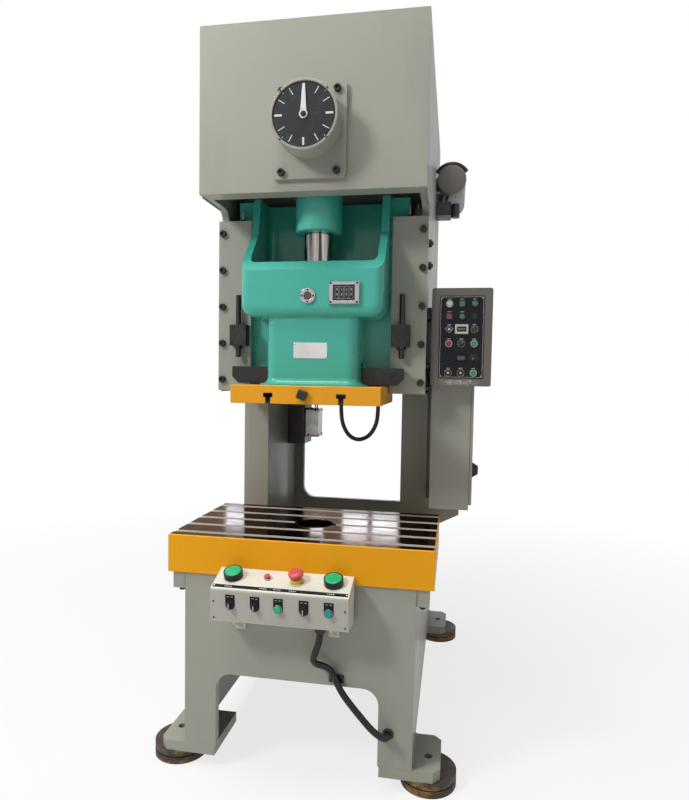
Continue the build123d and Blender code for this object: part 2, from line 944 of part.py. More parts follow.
def oil_gauge():
    z = slide_bottom + gauge_rise
    front = slide_front - gauge_thickness
    flange = rod_y(gauge_x, z, gauge_radius, front, slide_front)
    flange -= rod_y(gauge_x, z, gauge_lens, front, front + gauge_recess)
    outer = flange.edges().filter_by(GeomType.CIRCLE).group_by(Axis.Y)[0].sort_by(SortBy.LENGTH)[-1]
    return chamfer(outer, 1)


def height_indicator():
    low = slide_bottom + indicator_low
    high = slide_bottom + indicator_high
    front = slide_front - indicator_depth
    case = slab((indicator_left, indicator_right), (front, slide_front), (low, high))
    case = chamfer(case.edges().group_by(Axis.Y)[0], indicator_edge)
    window = slab((indicator_left + indicator_side_frame, indicator_right - indicator_side_frame),
                  (front, front + indicator_recess), (low + indicator_end_frame, high - indicator_end_frame))
    return case - window


# Flywheel, clutch, pulley and belts

def belt_planes():
    middle = flywheel_front + flywheel_width / 2
    start = middle - (belt_count - 1) * belt_pitch / 2
    return [start + index * belt_pitch for index in range(belt_count)]


def grooved_wheel(height, radius, width_front, width_back):
    wheel = rod_y(0, height, radius, width_front, width_back)
    for y in belt_planes():
        ring = (rod_y(0, height, radius, y - belt_width / 2 - groove_gap, y + belt_width / 2 + groove_gap)
                - rod_y(0, height, radius - groove_depth, y - belt_width, y + belt_width))
        wheel -= ring
    return wheel


def flywheel():
    back = flywheel_front + flywheel_width
    middle = flywheel_front + flywheel_width / 2
    wheel = grooved_wheel(crank_height, flywheel_radius, flywheel_front, back)
    for low, high in ((flywheel_front, middle - flywheel_web / 2), (middle + flywheel_web / 2, back)):
        wheel -= (rod_y(0, crank_height, flywheel_radius - flywheel_rim, low, high)
                  - rod_y(0, crank_height, flywheel_hub, low, high))
    for index in range(flywheel_holes):
        angle = 2 * math.pi * index / flywheel_holes
        x = flywheel_hole_circle * math.cos(angle)
        z = crank_height + flywheel_hole_circle * math.sin(angle)
        wheel -= rod_y(x, z, flywheel_hole_radius, middle - flywheel_web, middle + flywheel_web)
    return wheel - rod_y(0, crank_height, rear_journal + bush_gap, flywheel_front, back)


def clutch():
    front = flywheel_front + flywheel_width + clutch_gap
    drum = rod_y(0, crank_height, clutch_radius, front, front + clutch_width)
    drum = chamfer(drum.edges().filter_by(GeomType.CIRCLE), clutch_edge)
    drum -= rod_y(0, crank_height, rear_journal, front, front + clutch_width)
    return drum


def motor():
    back = frame_rear - rear_plate_thickness
    flange_front = back - motor_flange_thickness
    front = flange_front - motor_length
    fin_length = motor_length - fin_from_back - fin_from_flange
    fin_middle = front + fin_from_back + fin_length / 2
    body = rod_y(0, motor_height, motor_radius - motor_fin_height, front, flange_front)
    for index in range(motor_fin_count):
        fin = Pos(0, fin_middle, motor_height) * Rot(0, 360 * index / motor_fin_count, 0)
        fin *= Pos(0, 0, motor_radius - motor_fin_height)
        body += fin * Box(motor_fin_width, fin_length, 2 * motor_fin_height)
    body += rod_y(0, motor_height, motor_flange, flange_front, back)
    return body - rod_y(0, motor_height, motor_shaft + motor_shaft_gap, back - motor_shaft_length, back)


def motor_pulley():
    back = flywheel_front + flywheel_width
    start = frame_rear - rear_plate_thickness - motor_shaft_depth
    wheel = grooved_wheel(motor_height, pulley_radius, flywheel_front, back)
    return wheel + rod_y(0, motor_height, motor_shaft, start, flywheel_front)


def tangent_corners(big, small, tilt):
    """Points where straight runs touch a small circle at the motor and a big one at the crank."""
    sine = math.sin(tilt)
    cosine = math.cos(tilt)
    return [(-small * cosine, motor_height - small * sine), (small * cosine, motor_height - small * sine),
            (big * cosine, crank_height - big * sine), (-big * cosine, crank_height - big * sine)]


def belt_loop(y):
    """Flat loop round both wheels, its straight runs tangent to each."""
    low = y - belt_width / 2
    high = y + belt_width / 2
    span = crank_height - motor_height
    rings = []
    for extra in (belt_thickness, 0):
        big = flywheel_radius - groove_depth + groove_gap + extra
        small = pulley_radius - groove_depth + groove_gap + extra
        tilt = math.asin((big - small) / span)
        ring = front_profile(tangent_corners(big, small, tilt), low, high)
        ring += rod_y(0, crank_height, big, low, high)
        ring += rod_y(0, motor_height, small, low, high)
        rings.append(ring)
    return rings[0] - rings[1]


def guard_form(grow, y_low, y_high):
    big = flywheel_radius + guard_clearance + grow
    small = guard_pulley_radius + grow
    span = crank_height - motor_height
    tilt = math.asin((big - small) / span)
    form = front_profile(tangent_corners(big, small, tilt), y_low, y_high)
    form += rod_y(0, crank_height, big, y_low, y_high)
    return form + rod_y(0, motor_height, small, y_low, y_high)


def belt_guard():
    back = frame_rear + guard_depth
    shell = guard_form(guard_wall, frame_rear, back)
    shell -= guard_form(0, frame_rear, back - guard_wall)
    return shell


# Console: a folded box with a sloping top, its brackets, guards, buttons and knobs

console_back = base_front - console_gap
console_front = console_back - console_depth
console_slope = math.degrees(math.atan2(console_back_top - console_front_top, console_depth))


def console_box():
    points = [(console_back, console_back_top), (console_front, console_front_top),
              (console_front + console_front_lean, console_front_bottom),
              (console_back, console_front_bottom - console_floor_fall)]
    radii = [console_back_corner, console_corner, console_corner, console_back_corner]
    body = side_profile(points, console_left, console_right, radii)
    section = offset(outline(points), -console_wall, kind=Kind.INTERSECTION)
    start = Plane(origin=(console_left + console_wall, 0, 0), x_dir=(0, 1, 0), z_dir=(1, 0, 0))
    body -= extrude(start * section, console_right - console_left - 2 * console_wall)
    for x in palm_xs:
        body -= on_top(x) * standing(palm_stem + device_gap, -stem_hole_depth, 1)
    return body - on_top(stop_x) * standing(stop_stem_radius + device_gap, -stem_hole_depth, 1)


def console_underside(y):
    """Height of the console's sloping floor."""
    front = console_front + console_front_lean
    share = (y - front) / (console_back - front)
    return console_front_bottom - share * console_floor_fall


def on_top(x):
    """Place on the console's sloping top, with Z out of it."""
    share = (top_device_y - console_front) / console_depth
    z = console_front_top + share * (console_back_top - console_front_top)
    return Pos(x, top_device_y, z) * Rot(console_slope, 0, 0)


def on_front(x):
    """Place on the console's front, with Z out of it."""
    lean = math.degrees(math.atan2(console_front_lean, console_front_top - console_front_bottom))
    share = (console_front_top - front_device_z) / (console_front_top - console_front_bottom)
    return Pos(x, console_front + share * console_front_lean, front_device_z) * Rot(90 + lean, 0, 0)


def standing(radius, low, high):
    """Round piece along the local Z."""
    return Pos(0, 0, (low + high) / 2) * Cylinder(radius, high - low)


def palm_guard(x):
    cup = standing(palm_guard_radius, 0, palm_guard_height)
    cup -= standing(palm_guard_radius - palm_guard_wall, palm_guard_wall, palm_guard_height)
    cup -= standing(palm_stem + device_gap, 0, palm_guard_wall)
    return on_top(x) * cup


def palm_button(x):
    low = palm_guard_wall + palm_travel + device_gap
    cap = standing(palm_radius, low, low + palm_height)
    cap = fillet(cap.edges().group_by(Axis.Z)[-1], palm_round)
    return on_top(x) * (cap + standing(palm_stem, -palm_stem_depth, low))


def emergency_stop():
    low = stop_collar_height
    cap_low = stop_height - stop_cap_height
    stem = standing(stop_stem_radius, low - stop_stem_depth, cap_low)
    cap = standing(stop_radius, cap_low, stop_height)
    cap = fillet(cap.edges().group_by(Axis.Z)[-1], stop_round)
    return on_top(stop_x) * (stem + cap)


def stop_collar():
    collar = standing(stop_collar_radius, 0, stop_collar_height)
    return on_top(stop_x) * (collar - standing(stop_stem_radius + device_gap, 0, stop_collar_height))


def reset_button():
    return on_top(reset_x) * standing(reset_cap, device_floor + reset_travel, reset_height)


def reset_bezel():
    ring = standing(reset_radius, 0, bezel_height)
    ring -= standing(reset_cap + device_gap, bezel_floor, bezel_height)
    return on_top(reset_x) * ring


def device_ring(place):
    ring = standing(device_bezel, 0, device_bezel_height)
    ring -= standing(device_cap + device_gap, device_floor, device_bezel_height)
    return place * ring


def push_button(place):
    low = device_floor + device_travel
    cap = standing(device_cap, low, low + device_cap_height)
    return place * fillet(cap.edges().group_by(Axis.Z)[-1], 2)


def selector_knob(place):
    low = device_floor + device_gap
    base = standing(device_cap, low, low + knob_base)
    grip = Pos(0, 0, low + knob_height / 2) * Box(knob_width, knob_length, knob_height)
    grip = fillet(grip.edges().group_by(Axis.Z)[-1], 2)
    return place * (base + grip)


def console_bracket(x):
    low = console_front_bottom - console_floor_fall
    reach = console_back - bracket_reach
    foot = low - bracket_drop
    points = [(base_front, low), (reach, low), (reach, low - bracket_thickness), (base_front, foot)]
    web = side_profile(points, x, x + bracket_thickness)
    back = slab((x - bracket_width / 2, x + bracket_width / 2), (console_back, base_front),
                (foot, low + bracket_back_height))
    return web + back


# Control panel beside the gib, with its face, and the cabinet behind it

panel_back = panel_front + panel_depth
cabinet_front = panel_back
cabinet_rear = cabinet_front + cabinet_depth


def panel_box():
    body = slab((panel_left, panel_right), (panel_front, panel_back), (panel_bottom, panel_top))
    body = fillet(body.edges().filter_by(Axis.Y), panel_corner)
    body -= slab((panel_left + panel_margin, panel_right - panel_margin),
                 (panel_front, panel_front + panel_face_depth),
                 (panel_bottom + panel_margin, panel_top - panel_margin))
    body -= slab((panel_left + panel_wall, panel_right - panel_wall),
                 (panel_front + panel_face_depth + panel_wall, panel_back),
                 (panel_bottom + panel_wall, panel_top - panel_wall))
    arm = slab((half, panel_left), (panel_back - panel_arm, panel_back),
               (panel_bottom + panel_arm_inset, panel_top - panel_arm_inset))
    return body + arm


def panel_cells():
    """Middle of each place on the face, three across and six down."""
    middle = (panel_left + panel_right) / 2
    cells = []
    for row, drop in enumerate(panel_row_drops):
        z = panel_top - drop
        for column in range(panel_columns):
            cells.append((row, column, middle + (column - 1) * panel_column_pitch, z))
    return cells


def panel_face():
    back = panel_front + panel_face_depth
    front = back - panel_face_thickness
    margin = panel_margin + device_gap
    face = slab((panel_left + margin, panel_right - margin), (front, back),
                (panel_bottom + margin, panel_top - margin))
    for row, column, x, z in panel_cells():
        if row == counter_row and column == 1:
            across, up = counter_half
            face += slab((x - across, x + across), (front - counter_height, front), (z - up, z + up))
        elif row == display_row and column == 1:
            across, up = display_half
            face += slab((x - across, x + across), (front - display_height, front), (z - up, z + up))
        elif row != display_row or column == 2:
            face += rod_y(x, z, device_cap, front - panel_device_height, front)
    return face


def cabinet_box():
    left = half + cabinet_standoff
    body = slab((left, cabinet_right), (cabinet_front, cabinet_rear), (cabinet_bottom, cabinet_top))
    body -= slab((left + cabinet_wall, cabinet_right),
                 (cabinet_front + cabinet_wall, cabinet_rear - cabinet_wall),
                 (cabinet_bottom + cabinet_wall, cabinet_top - cabinet_wall))
    for y in mount_bar_places:
        body += slab((half, left), (y, y + mount_bar_width), (cabinet_bottom, cabinet_top))
    for z in hinge_heights:
        body += box_hinge(z)
    return body


def box_hinge(z):
    """Leaf, two outer knuckles and pin of a hinge behind the door."""
    knuckle_y = cabinet_rear + hinge_back
    top = z + 3 * hinge_knuckle
    part = slab((cabinet_right - hinge_leaf_width, cabinet_right - hinge_gap),
                (cabinet_rear, cabinet_rear + hinge_leaf), (z, top))
    part += rod_z(hinge_x, knuckle_y, hinge_pin, z, top)
    for low in (z, top - hinge_knuckle):
        high = low + hinge_knuckle
        part += slab((cabinet_right - hinge_leaf, hinge_x),
                     (cabinet_rear + hinge_leaf_gap, knuckle_y), (low, high))
        part += rod_z(hinge_x, knuckle_y, hinge_radius, low, high)
    return part


def door_panel():
    x = cabinet_right + cabinet_door_gap
    body = slab((x, x + cabinet_door), (cabinet_front + door_side_room, cabinet_rear),
                (cabinet_bottom + door_end_room, cabinet_top - door_end_room))
    body = fillet(body.edges().group_by(Axis.X)[-1], door_edge) - handle_bore()
    knuckle_y = cabinet_rear + hinge_back
    for z in hinge_heights:
        low = z + hinge_knuckle + hinge_gap
        high = z + 2 * hinge_knuckle - hinge_gap
        body += slab((hinge_x - hinge_leaf, x + cabinet_door), (cabinet_rear, knuckle_y), (low, high))
        body += slab((hinge_x - hinge_leaf, x + cabinet_door - door_edge),
                     (cabinet_rear - hinge_leaf, cabinet_rear), (low, high))
        body += rod_z(hinge_x, knuckle_y, hinge_radius, low, high)
        body -= rod_z(hinge_x, knuckle_y, hinge_pin + device_gap, low, high)
    return body


def handle_bore():
    x = cabinet_right + cabinet_door_gap
    return rod_x(handle_y, handle_height, handle_pin + device_gap, x, x + cabinet_door)


handle_y = cabinet_front + handle_inset


def door_handle():
    x = cabinet_right + cabinet_door_gap
    face = x + cabinet_door + device_gap
    knob = rod_x(handle_y, handle_height, handle_pin, x, face)
    knob += rod_x(handle_y, handle_height, handle_rose, face, face + handle_rose_height)
    tip = face + handle_reach
    points = [(face, handle_height - handle_base_half), (tip, handle_height - handle_tip_half),
              (tip, handle_height + handle_tip_half), (face, handle_height + handle_base_half)]
    grip = front_profile(points, handle_y - handle_half_width, handle_y + handle_half_width)
    return knob + fillet(grip.edges().group_by(Axis.X)[-1], handle_round)


# Compressed air and oil

def air_receiver():
    x = half + receiver_radius + receiver_off_side
    tank = rod_y(x, receiver_height, receiver_radius, receiver_front, receiver_front + receiver_length)
    tank = fillet(tank.edges().filter_by(GeomType.CIRCLE), receiver_end_round)
    for y in (receiver_front + saddle_from_front, receiver_front + receiver_length - saddle_from_rear):
        tank += slab((half, x), (y, y + receiver_saddle),
                     (receiver_height - receiver_radius / 2, receiver_height + receiver_radius / 2))
    return tank


def air_valve():
    body = slab((half, half + valve_reach), (valve_front, valve_front + valve_depth),
                (valve_bottom, valve_bottom + valve_height))
    return fillet(body.edges().filter_by(Axis.Y), valve_corner)


def silencer():
    x = half + valve_reach + silencer_radius
    y = valve_front + valve_depth / 2
    can = rod_z(x, y, silencer_radius, valve_bottom, valve_bottom + valve_height)
    neck = slab((half + valve_reach, x), (y - silencer_neck_half, y + silencer_neck_half),
                (valve_bottom + silencer_neck_low, valve_bottom + silencer_neck_high))
    return can + neck


def oiler():
    tank = slab((-inner_half, -inner_half + oiler_reach), (oiler_front, oiler_front + oiler_depth),
                (oiler_bottom, oiler_bottom + oiler_height))
    tank = fillet(tank.edges().filter_by(Axis.Z), oiler_corner)
    face = -inner_half + oiler_reach
    pump = slab((face, face + pump_reach),
                (oiler_front + pump_from_front, oiler_front + oiler_depth - pump_from_rear),
                (pump_bottom, pump_bottom + pump_height))
    return [tank, fillet(pump.edges().filter_by(Axis.X), pump_round)]


# Cords: straight runs joined by arcs as large as the runs allow

def route_radii(points):
    vectors = [Vector(*point) for point in points]
    radii = []
    for before, here, after in zip(vectors, vectors[1:], vectors[2:]):
        turn = (here - before).get_angle(after - here)
        shorter = min((here - before).length, (after - here).length)
        radii.append(0.45 * shorter / math.tan(math.radians(turn / 2)))
    return radii


def cord(name, points, diameter):
    radii = route_radii(points)
    path = FilletPolyline(*points, radius=radii)
    start = Vector(*points[0])
    plane = Plane(origin=start, z_dir=Vector(*points[1]) - start)
    tube = sweep(plane * Circle(diameter / 2), path=path)
    print(name, "radii", [round(radius) for radius in radii], "length", round(path.length),
          "volume share", round(tube.volume / (path.length * math.pi * diameter ** 2 / 4), 4))
    save(name, tube)


conduit_route = [
    (89, -300, 512), (89, -300, 484), (74, -290, 442), (64, -281, 414), (70, -272, 396), (94, -263, 388),
    (117, -258, 374), (130, -255, 342), (151, -258, 305), (186, -270, 272), (222, -279, 239),
    (250, -284, 214), (275, -281, 196), (conduit_hole_x, -268, conduit_hole_z),
    (conduit_hole_x, -243, conduit_hole_z)]

hose_route = [
    (hose_left, hose_plane, hose_top), (hose_left, hose_plane, hose_top - 44),
    (hose_left + 6, hose_plane, hose_top - 96), (hose_left + 30, hose_plane, hose_top - 140),
    (hose_left + 68, hose_plane, hose_top - 156), (hose_right - 30, hose_plane, hose_top - 138),
    (hose_right - 5, hose_plane, hose_top - 94), (hose_right, hose_plane, hose_top - 44),
    (hose_right, hose_plane, hose_top)]


def conduit_fittings():
    top = conduit_route[0]
    gland = rod_z(top[0], top[1], gland_radius, top[2], console_underside(top[1] + gland_radius))
    end = conduit_route[-1]
    socket = rod_y(end[0], end[2], gland_radius, end[1], base_front)
    held = conduit_route[clip_point]
    clip = slab((held[0] - clip_width / 2, held[0] + clip_width / 2),
                (held[1] + conduit_diameter / 2 + clip_room, base_front),
                (held[2] - clip_height / 2, held[2] + clip_height / 2))
    return [gland, socket, clip]


dial_plate_front = crown_front - dial_plate_thickness
dial_front = dial_plate_front - dial_depth

os.makedirs("parts", exist_ok=True)

right_side = side_plate_right()
left_side = mirrored(right_side)
save("side_plate_left", left_side)
save("side_plate_right", right_side + cabinet_shelf())
save("apron_plate", apron())
save("rear_plate", rear_plate())
save("column_channels", *both_sides(column_channel()))
save("bed_plate", bed_plate())
save("crown_front_plate", crown_front_plate())
save("crown_cover", slab((-half, half), (crown_front + crown_plate, frame_rear),
                         (crown_top - crown_cover, crown_top)))
save("crank_support", crank_support())
pads = [Pos(x, y, 0) * pad() for x in (-anchor_x, anchor_x) for y in (anchor_front, anchor_rear)]
save("foot_pads", *pads)
save("bolster", bolster())
save("guide_blocks", *both_sides(guide_block()))
save("gib_plates", *both_sides(gib_plate()))
save("frame_bolts", *frame_bolts(), *both_sides(stopper_nut()))
save("stopper_blocks", *both_sides(stopper_block()))
save("stopper_rod_right", stopper_rod())
save("stopper_rod_left", mirrored(stopper_rod()))
front_seat = crown_front + crown_plate + bearing_boss / 2
save("crank_bushes",
     bush(front_journal, crown_front, front_seat),
     bush(middle_journal, support_front, support_front + support_thickness + support_boss_depth),
     bush(rear_journal, frame_rear - 2 * rear_plate_thickness, frame_rear))
save("crankshaft", crankshaft())
save("connecting_rod", connecting_rod())
save("adjusting_screw", adjusting_screw())
save("ball_cap", ball_cap())
save("slide_casting", slide_casting())
save("ram_plate", ram_plate())
save("shank_bolt", shank_bolt())
save("knockout_bar", knockout_bar())
save("dial_housing", dial_housing())
save("dial_face", dial_face())
save("dial_pointer", pointer())
save("oil_gauge", oil_gauge())
save("height_indicator", height_indicator())
save("flywheel", flywheel())
save("clutch_drum", clutch())
save("drive_motor", motor())
save("motor_pulley", motor_pulley())
save("drive_belts", *[belt_loop(y) for y in belt_planes()])
save("belt_guard", belt_guard())
save("console_box", console_box())
save("console_brackets",
     console_bracket(console_left + bracket_inset),
     console_bracket(console_right - bracket_inset))
guards = [palm_guard(x) for x in palm_xs]
bezels = [device_ring(on_front(x)) for x in front_device_xs]
save("console_guards", stop_collar(), reset_bezel(), *guards, *bezels)
save("palm_button_left", palm_button(palm_xs[0]))
save("palm_button_right", palm_button(palm_xs[1]))
save("emergency_stop", emergency_stop())
save("reset_button", reset_button())
save("mode_selector", selector_knob(on_front(front_device_xs[0])))
save("feed_selector", selector_knob(on_front(front_device_xs[1])))
save("start_button", push_button(on_front(front_device_xs[2])))
save("key_selector", selector_knob(on_front(front_device_xs[3])))
save("run_button", push_button(on_front(front_device_xs[4])))
save("panel_box", panel_box())
save("panel_face", panel_face())
save("cabinet_box", cabinet_box())
save("cabinet_door", door_panel())
save("door_handle", door_handle())
save("air_receiver", air_receiver())
save("air_valve", air_valve(), silencer())
save("oil_pump", *oiler())
save("conduit_fittings", *conduit_fittings())
cord("console_conduit", conduit_route, conduit_diameter)
cord("oil_hose", hose_route, hose_diameter)
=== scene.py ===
import json
import math
import bmesh
import bpy
from mathutils import Matrix, Vector


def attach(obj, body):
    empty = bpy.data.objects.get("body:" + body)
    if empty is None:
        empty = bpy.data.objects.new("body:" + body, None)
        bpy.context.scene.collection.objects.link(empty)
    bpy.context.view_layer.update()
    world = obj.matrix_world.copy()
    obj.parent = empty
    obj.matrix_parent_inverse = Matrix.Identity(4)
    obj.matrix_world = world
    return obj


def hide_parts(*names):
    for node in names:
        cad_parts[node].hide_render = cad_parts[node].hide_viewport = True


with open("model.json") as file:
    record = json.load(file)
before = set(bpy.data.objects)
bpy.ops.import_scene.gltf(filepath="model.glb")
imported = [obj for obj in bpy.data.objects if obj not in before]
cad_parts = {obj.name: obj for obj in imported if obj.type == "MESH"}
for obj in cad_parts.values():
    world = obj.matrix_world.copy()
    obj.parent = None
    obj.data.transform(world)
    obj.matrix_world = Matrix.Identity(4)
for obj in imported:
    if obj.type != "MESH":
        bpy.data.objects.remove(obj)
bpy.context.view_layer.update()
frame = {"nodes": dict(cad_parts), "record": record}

scene = bpy.context.scene
scene.view_settings.view_transform = "Standard"

# Lengths are in millimetres from the ram's axis. The row's origin lies this far behind it.
origin_back = 400

# Heights and places that the pieces share with the solids
crank_height = 2041
crown_underside = 1842
gib_face = 29
gib_top = 1800
gib_bolt_x = 349
gib_bolt_low = 1248
gib_bolt_step = 127
dial_bolt_x = 88
dial_bolt_heights = (1897, 2143)
side_screw_heights = (1228, 1303, 1470, 1645, 1720)
side_screw_y = 80
lug_x = 385.5
lug_y = 215
lug_low = 583
stopper_bottom = 1366
dial_plate_face = -155
dial_face_front = -228
pointer_front = -232
slide_face = -117
neck_face = -92
side_face = 365
panel_columns = (439.5, 481, 522.5)
panel_rows = (1513, 1471, 1429, 1381, 1333, 1283)
panel_face_front = 54
selector_xs = (-175, -99, 49)
button_xs = (-28, 123)
front_devices = sorted(selector_xs + button_xs)
palm_xs = {"left": -185, "right": 126}
stop_x = 12
reset_x = -78
console_middle = -28
strip_along = -48.5
console_top_middle = (-288, 652.24)
console_front_middle = (-344.2, 584)
console_slope = math.degrees(math.atan2(36, 100))
console_lean = math.degrees(math.atan2(6, 101))
conduit_gland_at = (89, -300, 529)
conduit_grommet_at = (291, -239, 185)
guide_oil_y = 46
valve_y = 650
valve_top = 2004


def place(x, y, z):
    """Point in the row frame, in metres."""
    return Vector((x, y - origin_back, z)) / 1000


# Camera, with its lengths in the photo's pixels and its place in metres

photo_height = 800
focal_length = 610.49
middle_shift = (-0.93, 8.78)
stand = (0.4616, -2.4323, 1.26594)
yaw = 0.17568
pitch = 0.05343
roll = 0.01692
camera_data = bpy.data.cameras.new("camera")
camera = bpy.data.objects.new("camera", camera_data)
scene.collection.objects.link(camera)
camera.matrix_world = (Matrix.Translation(stand) @ Matrix.Rotation(yaw, 4, "Z")
                       @ Matrix.Rotation(math.pi / 2 - pitch, 4, "X") @ Matrix.Rotation(roll, 4, "Z"))
camera_data.sensor_width = 36
camera_data.lens = focal_length / photo_height * camera_data.sensor_width
camera_data.shift_x = middle_shift[0] / photo_height
camera_data.shift_y = middle_shift[1] / photo_height
camera_data.clip_end = 100
scene.camera = camera


# Materials

def colour(red, green, blue):
    """Linear colour from the usual 0 to 255 values."""
    values = []
    for value in (red, green, blue):
        share = value / 255
        values.append(share / 12.92 if share < 0.04045 else ((share + 0.055) / 1.055) ** 2.4)
    return (*values, 1)


def add_node(tree, kind, **values):
    """New node. Values go to the inputs of those names."""
    made = tree.nodes.new(kind)
    for name, value in values.items():
        made.inputs[name.replace("_", " ")].default_value = value
    return made


class Surface:
    """One material, built step by step on a principled shader."""

    def __init__(self, name, metallic=0.0, coat=0.0, gloss=0.5):
        self.material = bpy.data.materials.new(name)
        self.material.use_nodes = True
        self.tree = self.material.node_tree
        self.tree.nodes.clear()
        self.output = self.node("ShaderNodeOutputMaterial")
        self.shader = self.node("ShaderNodeBsdfPrincipled", Metallic=metallic, Coat_Weight=coat,
                                Specular_IOR_Level=gloss)
        self.link(self.shader.outputs["BSDF"], self.output.inputs["Surface"])
        self.coordinates = self.node("ShaderNodeTexCoord").outputs["Object"]
        self.geometry = self.node("ShaderNodeNewGeometry")

    def link(self, source, target):
        self.tree.links.new(source, target)

    def node(self, kind, **values):
        return add_node(self.tree, kind, **values)

    def feed(self, value, target):
        """Set an input to a fixed value, or link it to another node's output."""
        if isinstance(value, (int, float, tuple)):
            target.default_value = value
        else:
            self.link(value, target)

    def noise(self, scale, detail=4, stretch=(1, 1, 1), rough=0.5):
        mapping = self.node("ShaderNodeMapping", Scale=stretch)
        self.link(self.coordinates, mapping.inputs["Vector"])
        texture = self.node("ShaderNodeTexNoise", Scale=scale, Detail=detail, Roughness=rough)
        self.link(mapping.outputs["Vector"], texture.inputs["Vector"])
        return texture.outputs["Fac"]

    def between(self, source, low, high, bottom=0.0, upper=1.0):
        """Map the range low to high onto bottom to upper, held at both ends."""
        made = self.node("ShaderNodeMapRange", From_Min=low, From_Max=high, To_Min=bottom, To_Max=upper)
        self.link(source, made.inputs["Value"])
        return made.outputs["Result"]

    def maths(self, operation, first, second):
        made = self.node("ShaderNodeMath")
        made.operation = operation
        made.use_clamp = operation in ("MULTIPLY", "MAXIMUM", "ADD")
        self.feed(first, made.inputs[0])
        self.feed(second, made.inputs[1])
        return made.outputs[0]

    def away(self, source, middle):
        """How far a value lies from a middle one."""
        return self.maths("ABSOLUTE", self.maths("SUBTRACT", source, middle), 0.0)

    def above(self, source, limit):
        return self.maths("GREATER_THAN", source, limit)

    def below(self, source, limit):
        return self.maths("LESS_THAN", source, limit)

    def rest(self, share):
        return self.maths("SUBTRACT", 1.0, share)

    def blend(self, share, first, second):
        made = self.node("ShaderNodeMix")
        made.data_type = "RGBA"
        self.link(share, made.inputs["Factor"])
        self.feed(first, made.inputs["A"])
        self.feed(second, made.inputs["B"])
        return made.outputs["Result"]

    def times(self, first, second):
        return self.maths("MULTIPLY", first, second)

    def stained(self, base, mask, amount, tone):
        return self.blend(self.times(mask, amount), base, tone)

    def mottled(self, tone, dark, light, *pattern):
        return self.blend(self.noise(*pattern), shade(tone, dark), shade(tone, light))

    def patches(self, low, high, *pattern):
        """Mask that is 1 where the noise is strong."""
        return self.between(self.noise(*pattern), low, high)

    def sheen(self, scale, detail, low, high):
        """Roughness that wanders from low to high."""
        return self.between(self.noise(scale, detail), 0.3, 0.7, low, high)

    def component(self, vector, index):
        made = self.node("ShaderNodeSeparateXYZ")
        self.link(vector, made.inputs[0])
        return made.outputs[index]

    def axis(self, index):
        return self.component(self.coordinates, index)

    def facing(self, index):
        return self.component(self.geometry.outputs["Normal"], index)

    def rounded(self, radius):
        made = self.node("ShaderNodeBevel", Radius=radius)
        made.samples = 4
        return made.outputs["Normal"]

    def edges(self, radius, low, high):
        """Mask that is 1 along the edges of the piece."""
        made = self.node("ShaderNodeVectorMath")
        made.operation = "DOT_PRODUCT"
        self.link(self.rounded(radius), made.inputs[0])
        self.link(self.geometry.outputs["Normal"], made.inputs[1])
        return self.between(made.outputs["Value"], low, high, 1, 0)

    def chips(self, rough=0.5):
        """Mask of chipped paint along the edges."""
        return self.times(self.edges(0.0025, 0.90, 0.995), self.patches(0.50, 0.62, 34, 6, (1, 1, 1), rough))

    def smeared(self, base, amount, tone, scale=3.1, stretch=(1.3, 1.3, 0.35)):
        """Oily smears that run down."""
        return self.stained(base, self.patches(0.52, 0.78, scale, 8, stretch, 0.62), amount, tone)

    def relief(self, height, strength, distance=0.001, under=None):
        made = self.node("ShaderNodeBump", Strength=strength, Distance=distance)
        self.link(height, made.inputs["Height"])
        if under is not None:
            self.link(under, made.inputs["Normal"])
        return made.outputs["Normal"]

    def grain(self, scale, detail, strength, distance, radius):
        """Fine bumps over slightly rounded edges."""
        return self.relief(self.noise(scale, detail), strength, distance, self.rounded(radius))

    def finish(self, base, rough, normal):
        self.link(base, self.shader.inputs["Base Color"])
        self.link(rough, self.shader.inputs["Roughness"])
        self.link(normal, self.shader.inputs["Normal"])
        return self.material

    def sprayed(self, base, low, high):
        """Finish with the gloss and the grain of sprayed paint."""
        rough = self.sheen(5.5, 6, low, high)
        return self.finish(base, rough, self.grain(260, 2, 0.10, 0.0004, 0.0016))


def shade(tone, factor):
    return (tone[0] * factor, tone[1] * factor, tone[2] * factor, 1)


primer = (0.12, 0.11, 0.10, 1)


def paint(name, tone, rough=0.42, dirt=0.25, wear=0.35, under=primer, coat=0.1):
    """Sprayed paint with slight unevenness, dust, smears and chips along its edges."""
    made = Surface(name, coat=coat, gloss=0.3)
    base = made.mottled(tone, 0.93, 1.05, 2.2, 5)
    base = made.smeared(base, dirt, shade(tone, 0.45))
    base = made.stained(base, made.patches(0.70, 0.78, 160, 3), dirt, under)
    base = made.stained(base, made.chips(0.7), wear, under)
    finish = made.sheen(5.5, 6, rough - 0.07, rough + 0.10)
    peel = made.grain(260, 2, 0.10, 0.0004, 0.0016)
    return made.finish(base, finish, made.relief(made.noise(7, 3), 0.05, 0.003, peel))


def machined(name, tone, rough=0.3, grain=(1, 1, 18), stain=0.4, stain_tone=(0.09, 0.06, 0.04, 1)):
    """Bare worked metal with fine marks along one direction and oily stains."""
    made = Surface(name, metallic=1.0)
    lines = made.noise(60, 5, grain, 0.7)
    base = made.blend(lines, shade(tone, 0.80), shade(tone, 1.12))
    base = made.stained(base, made.patches(0.50, 0.72, 9, 7, (1, 1, 1), 0.65), stain, stain_tone)
    finish = made.sheen(14, 5, rough - 0.06, rough + 0.14)
    return made.finish(base, finish, made.relief(lines, 0.12, 0.0004, made.rounded(0.0012)))


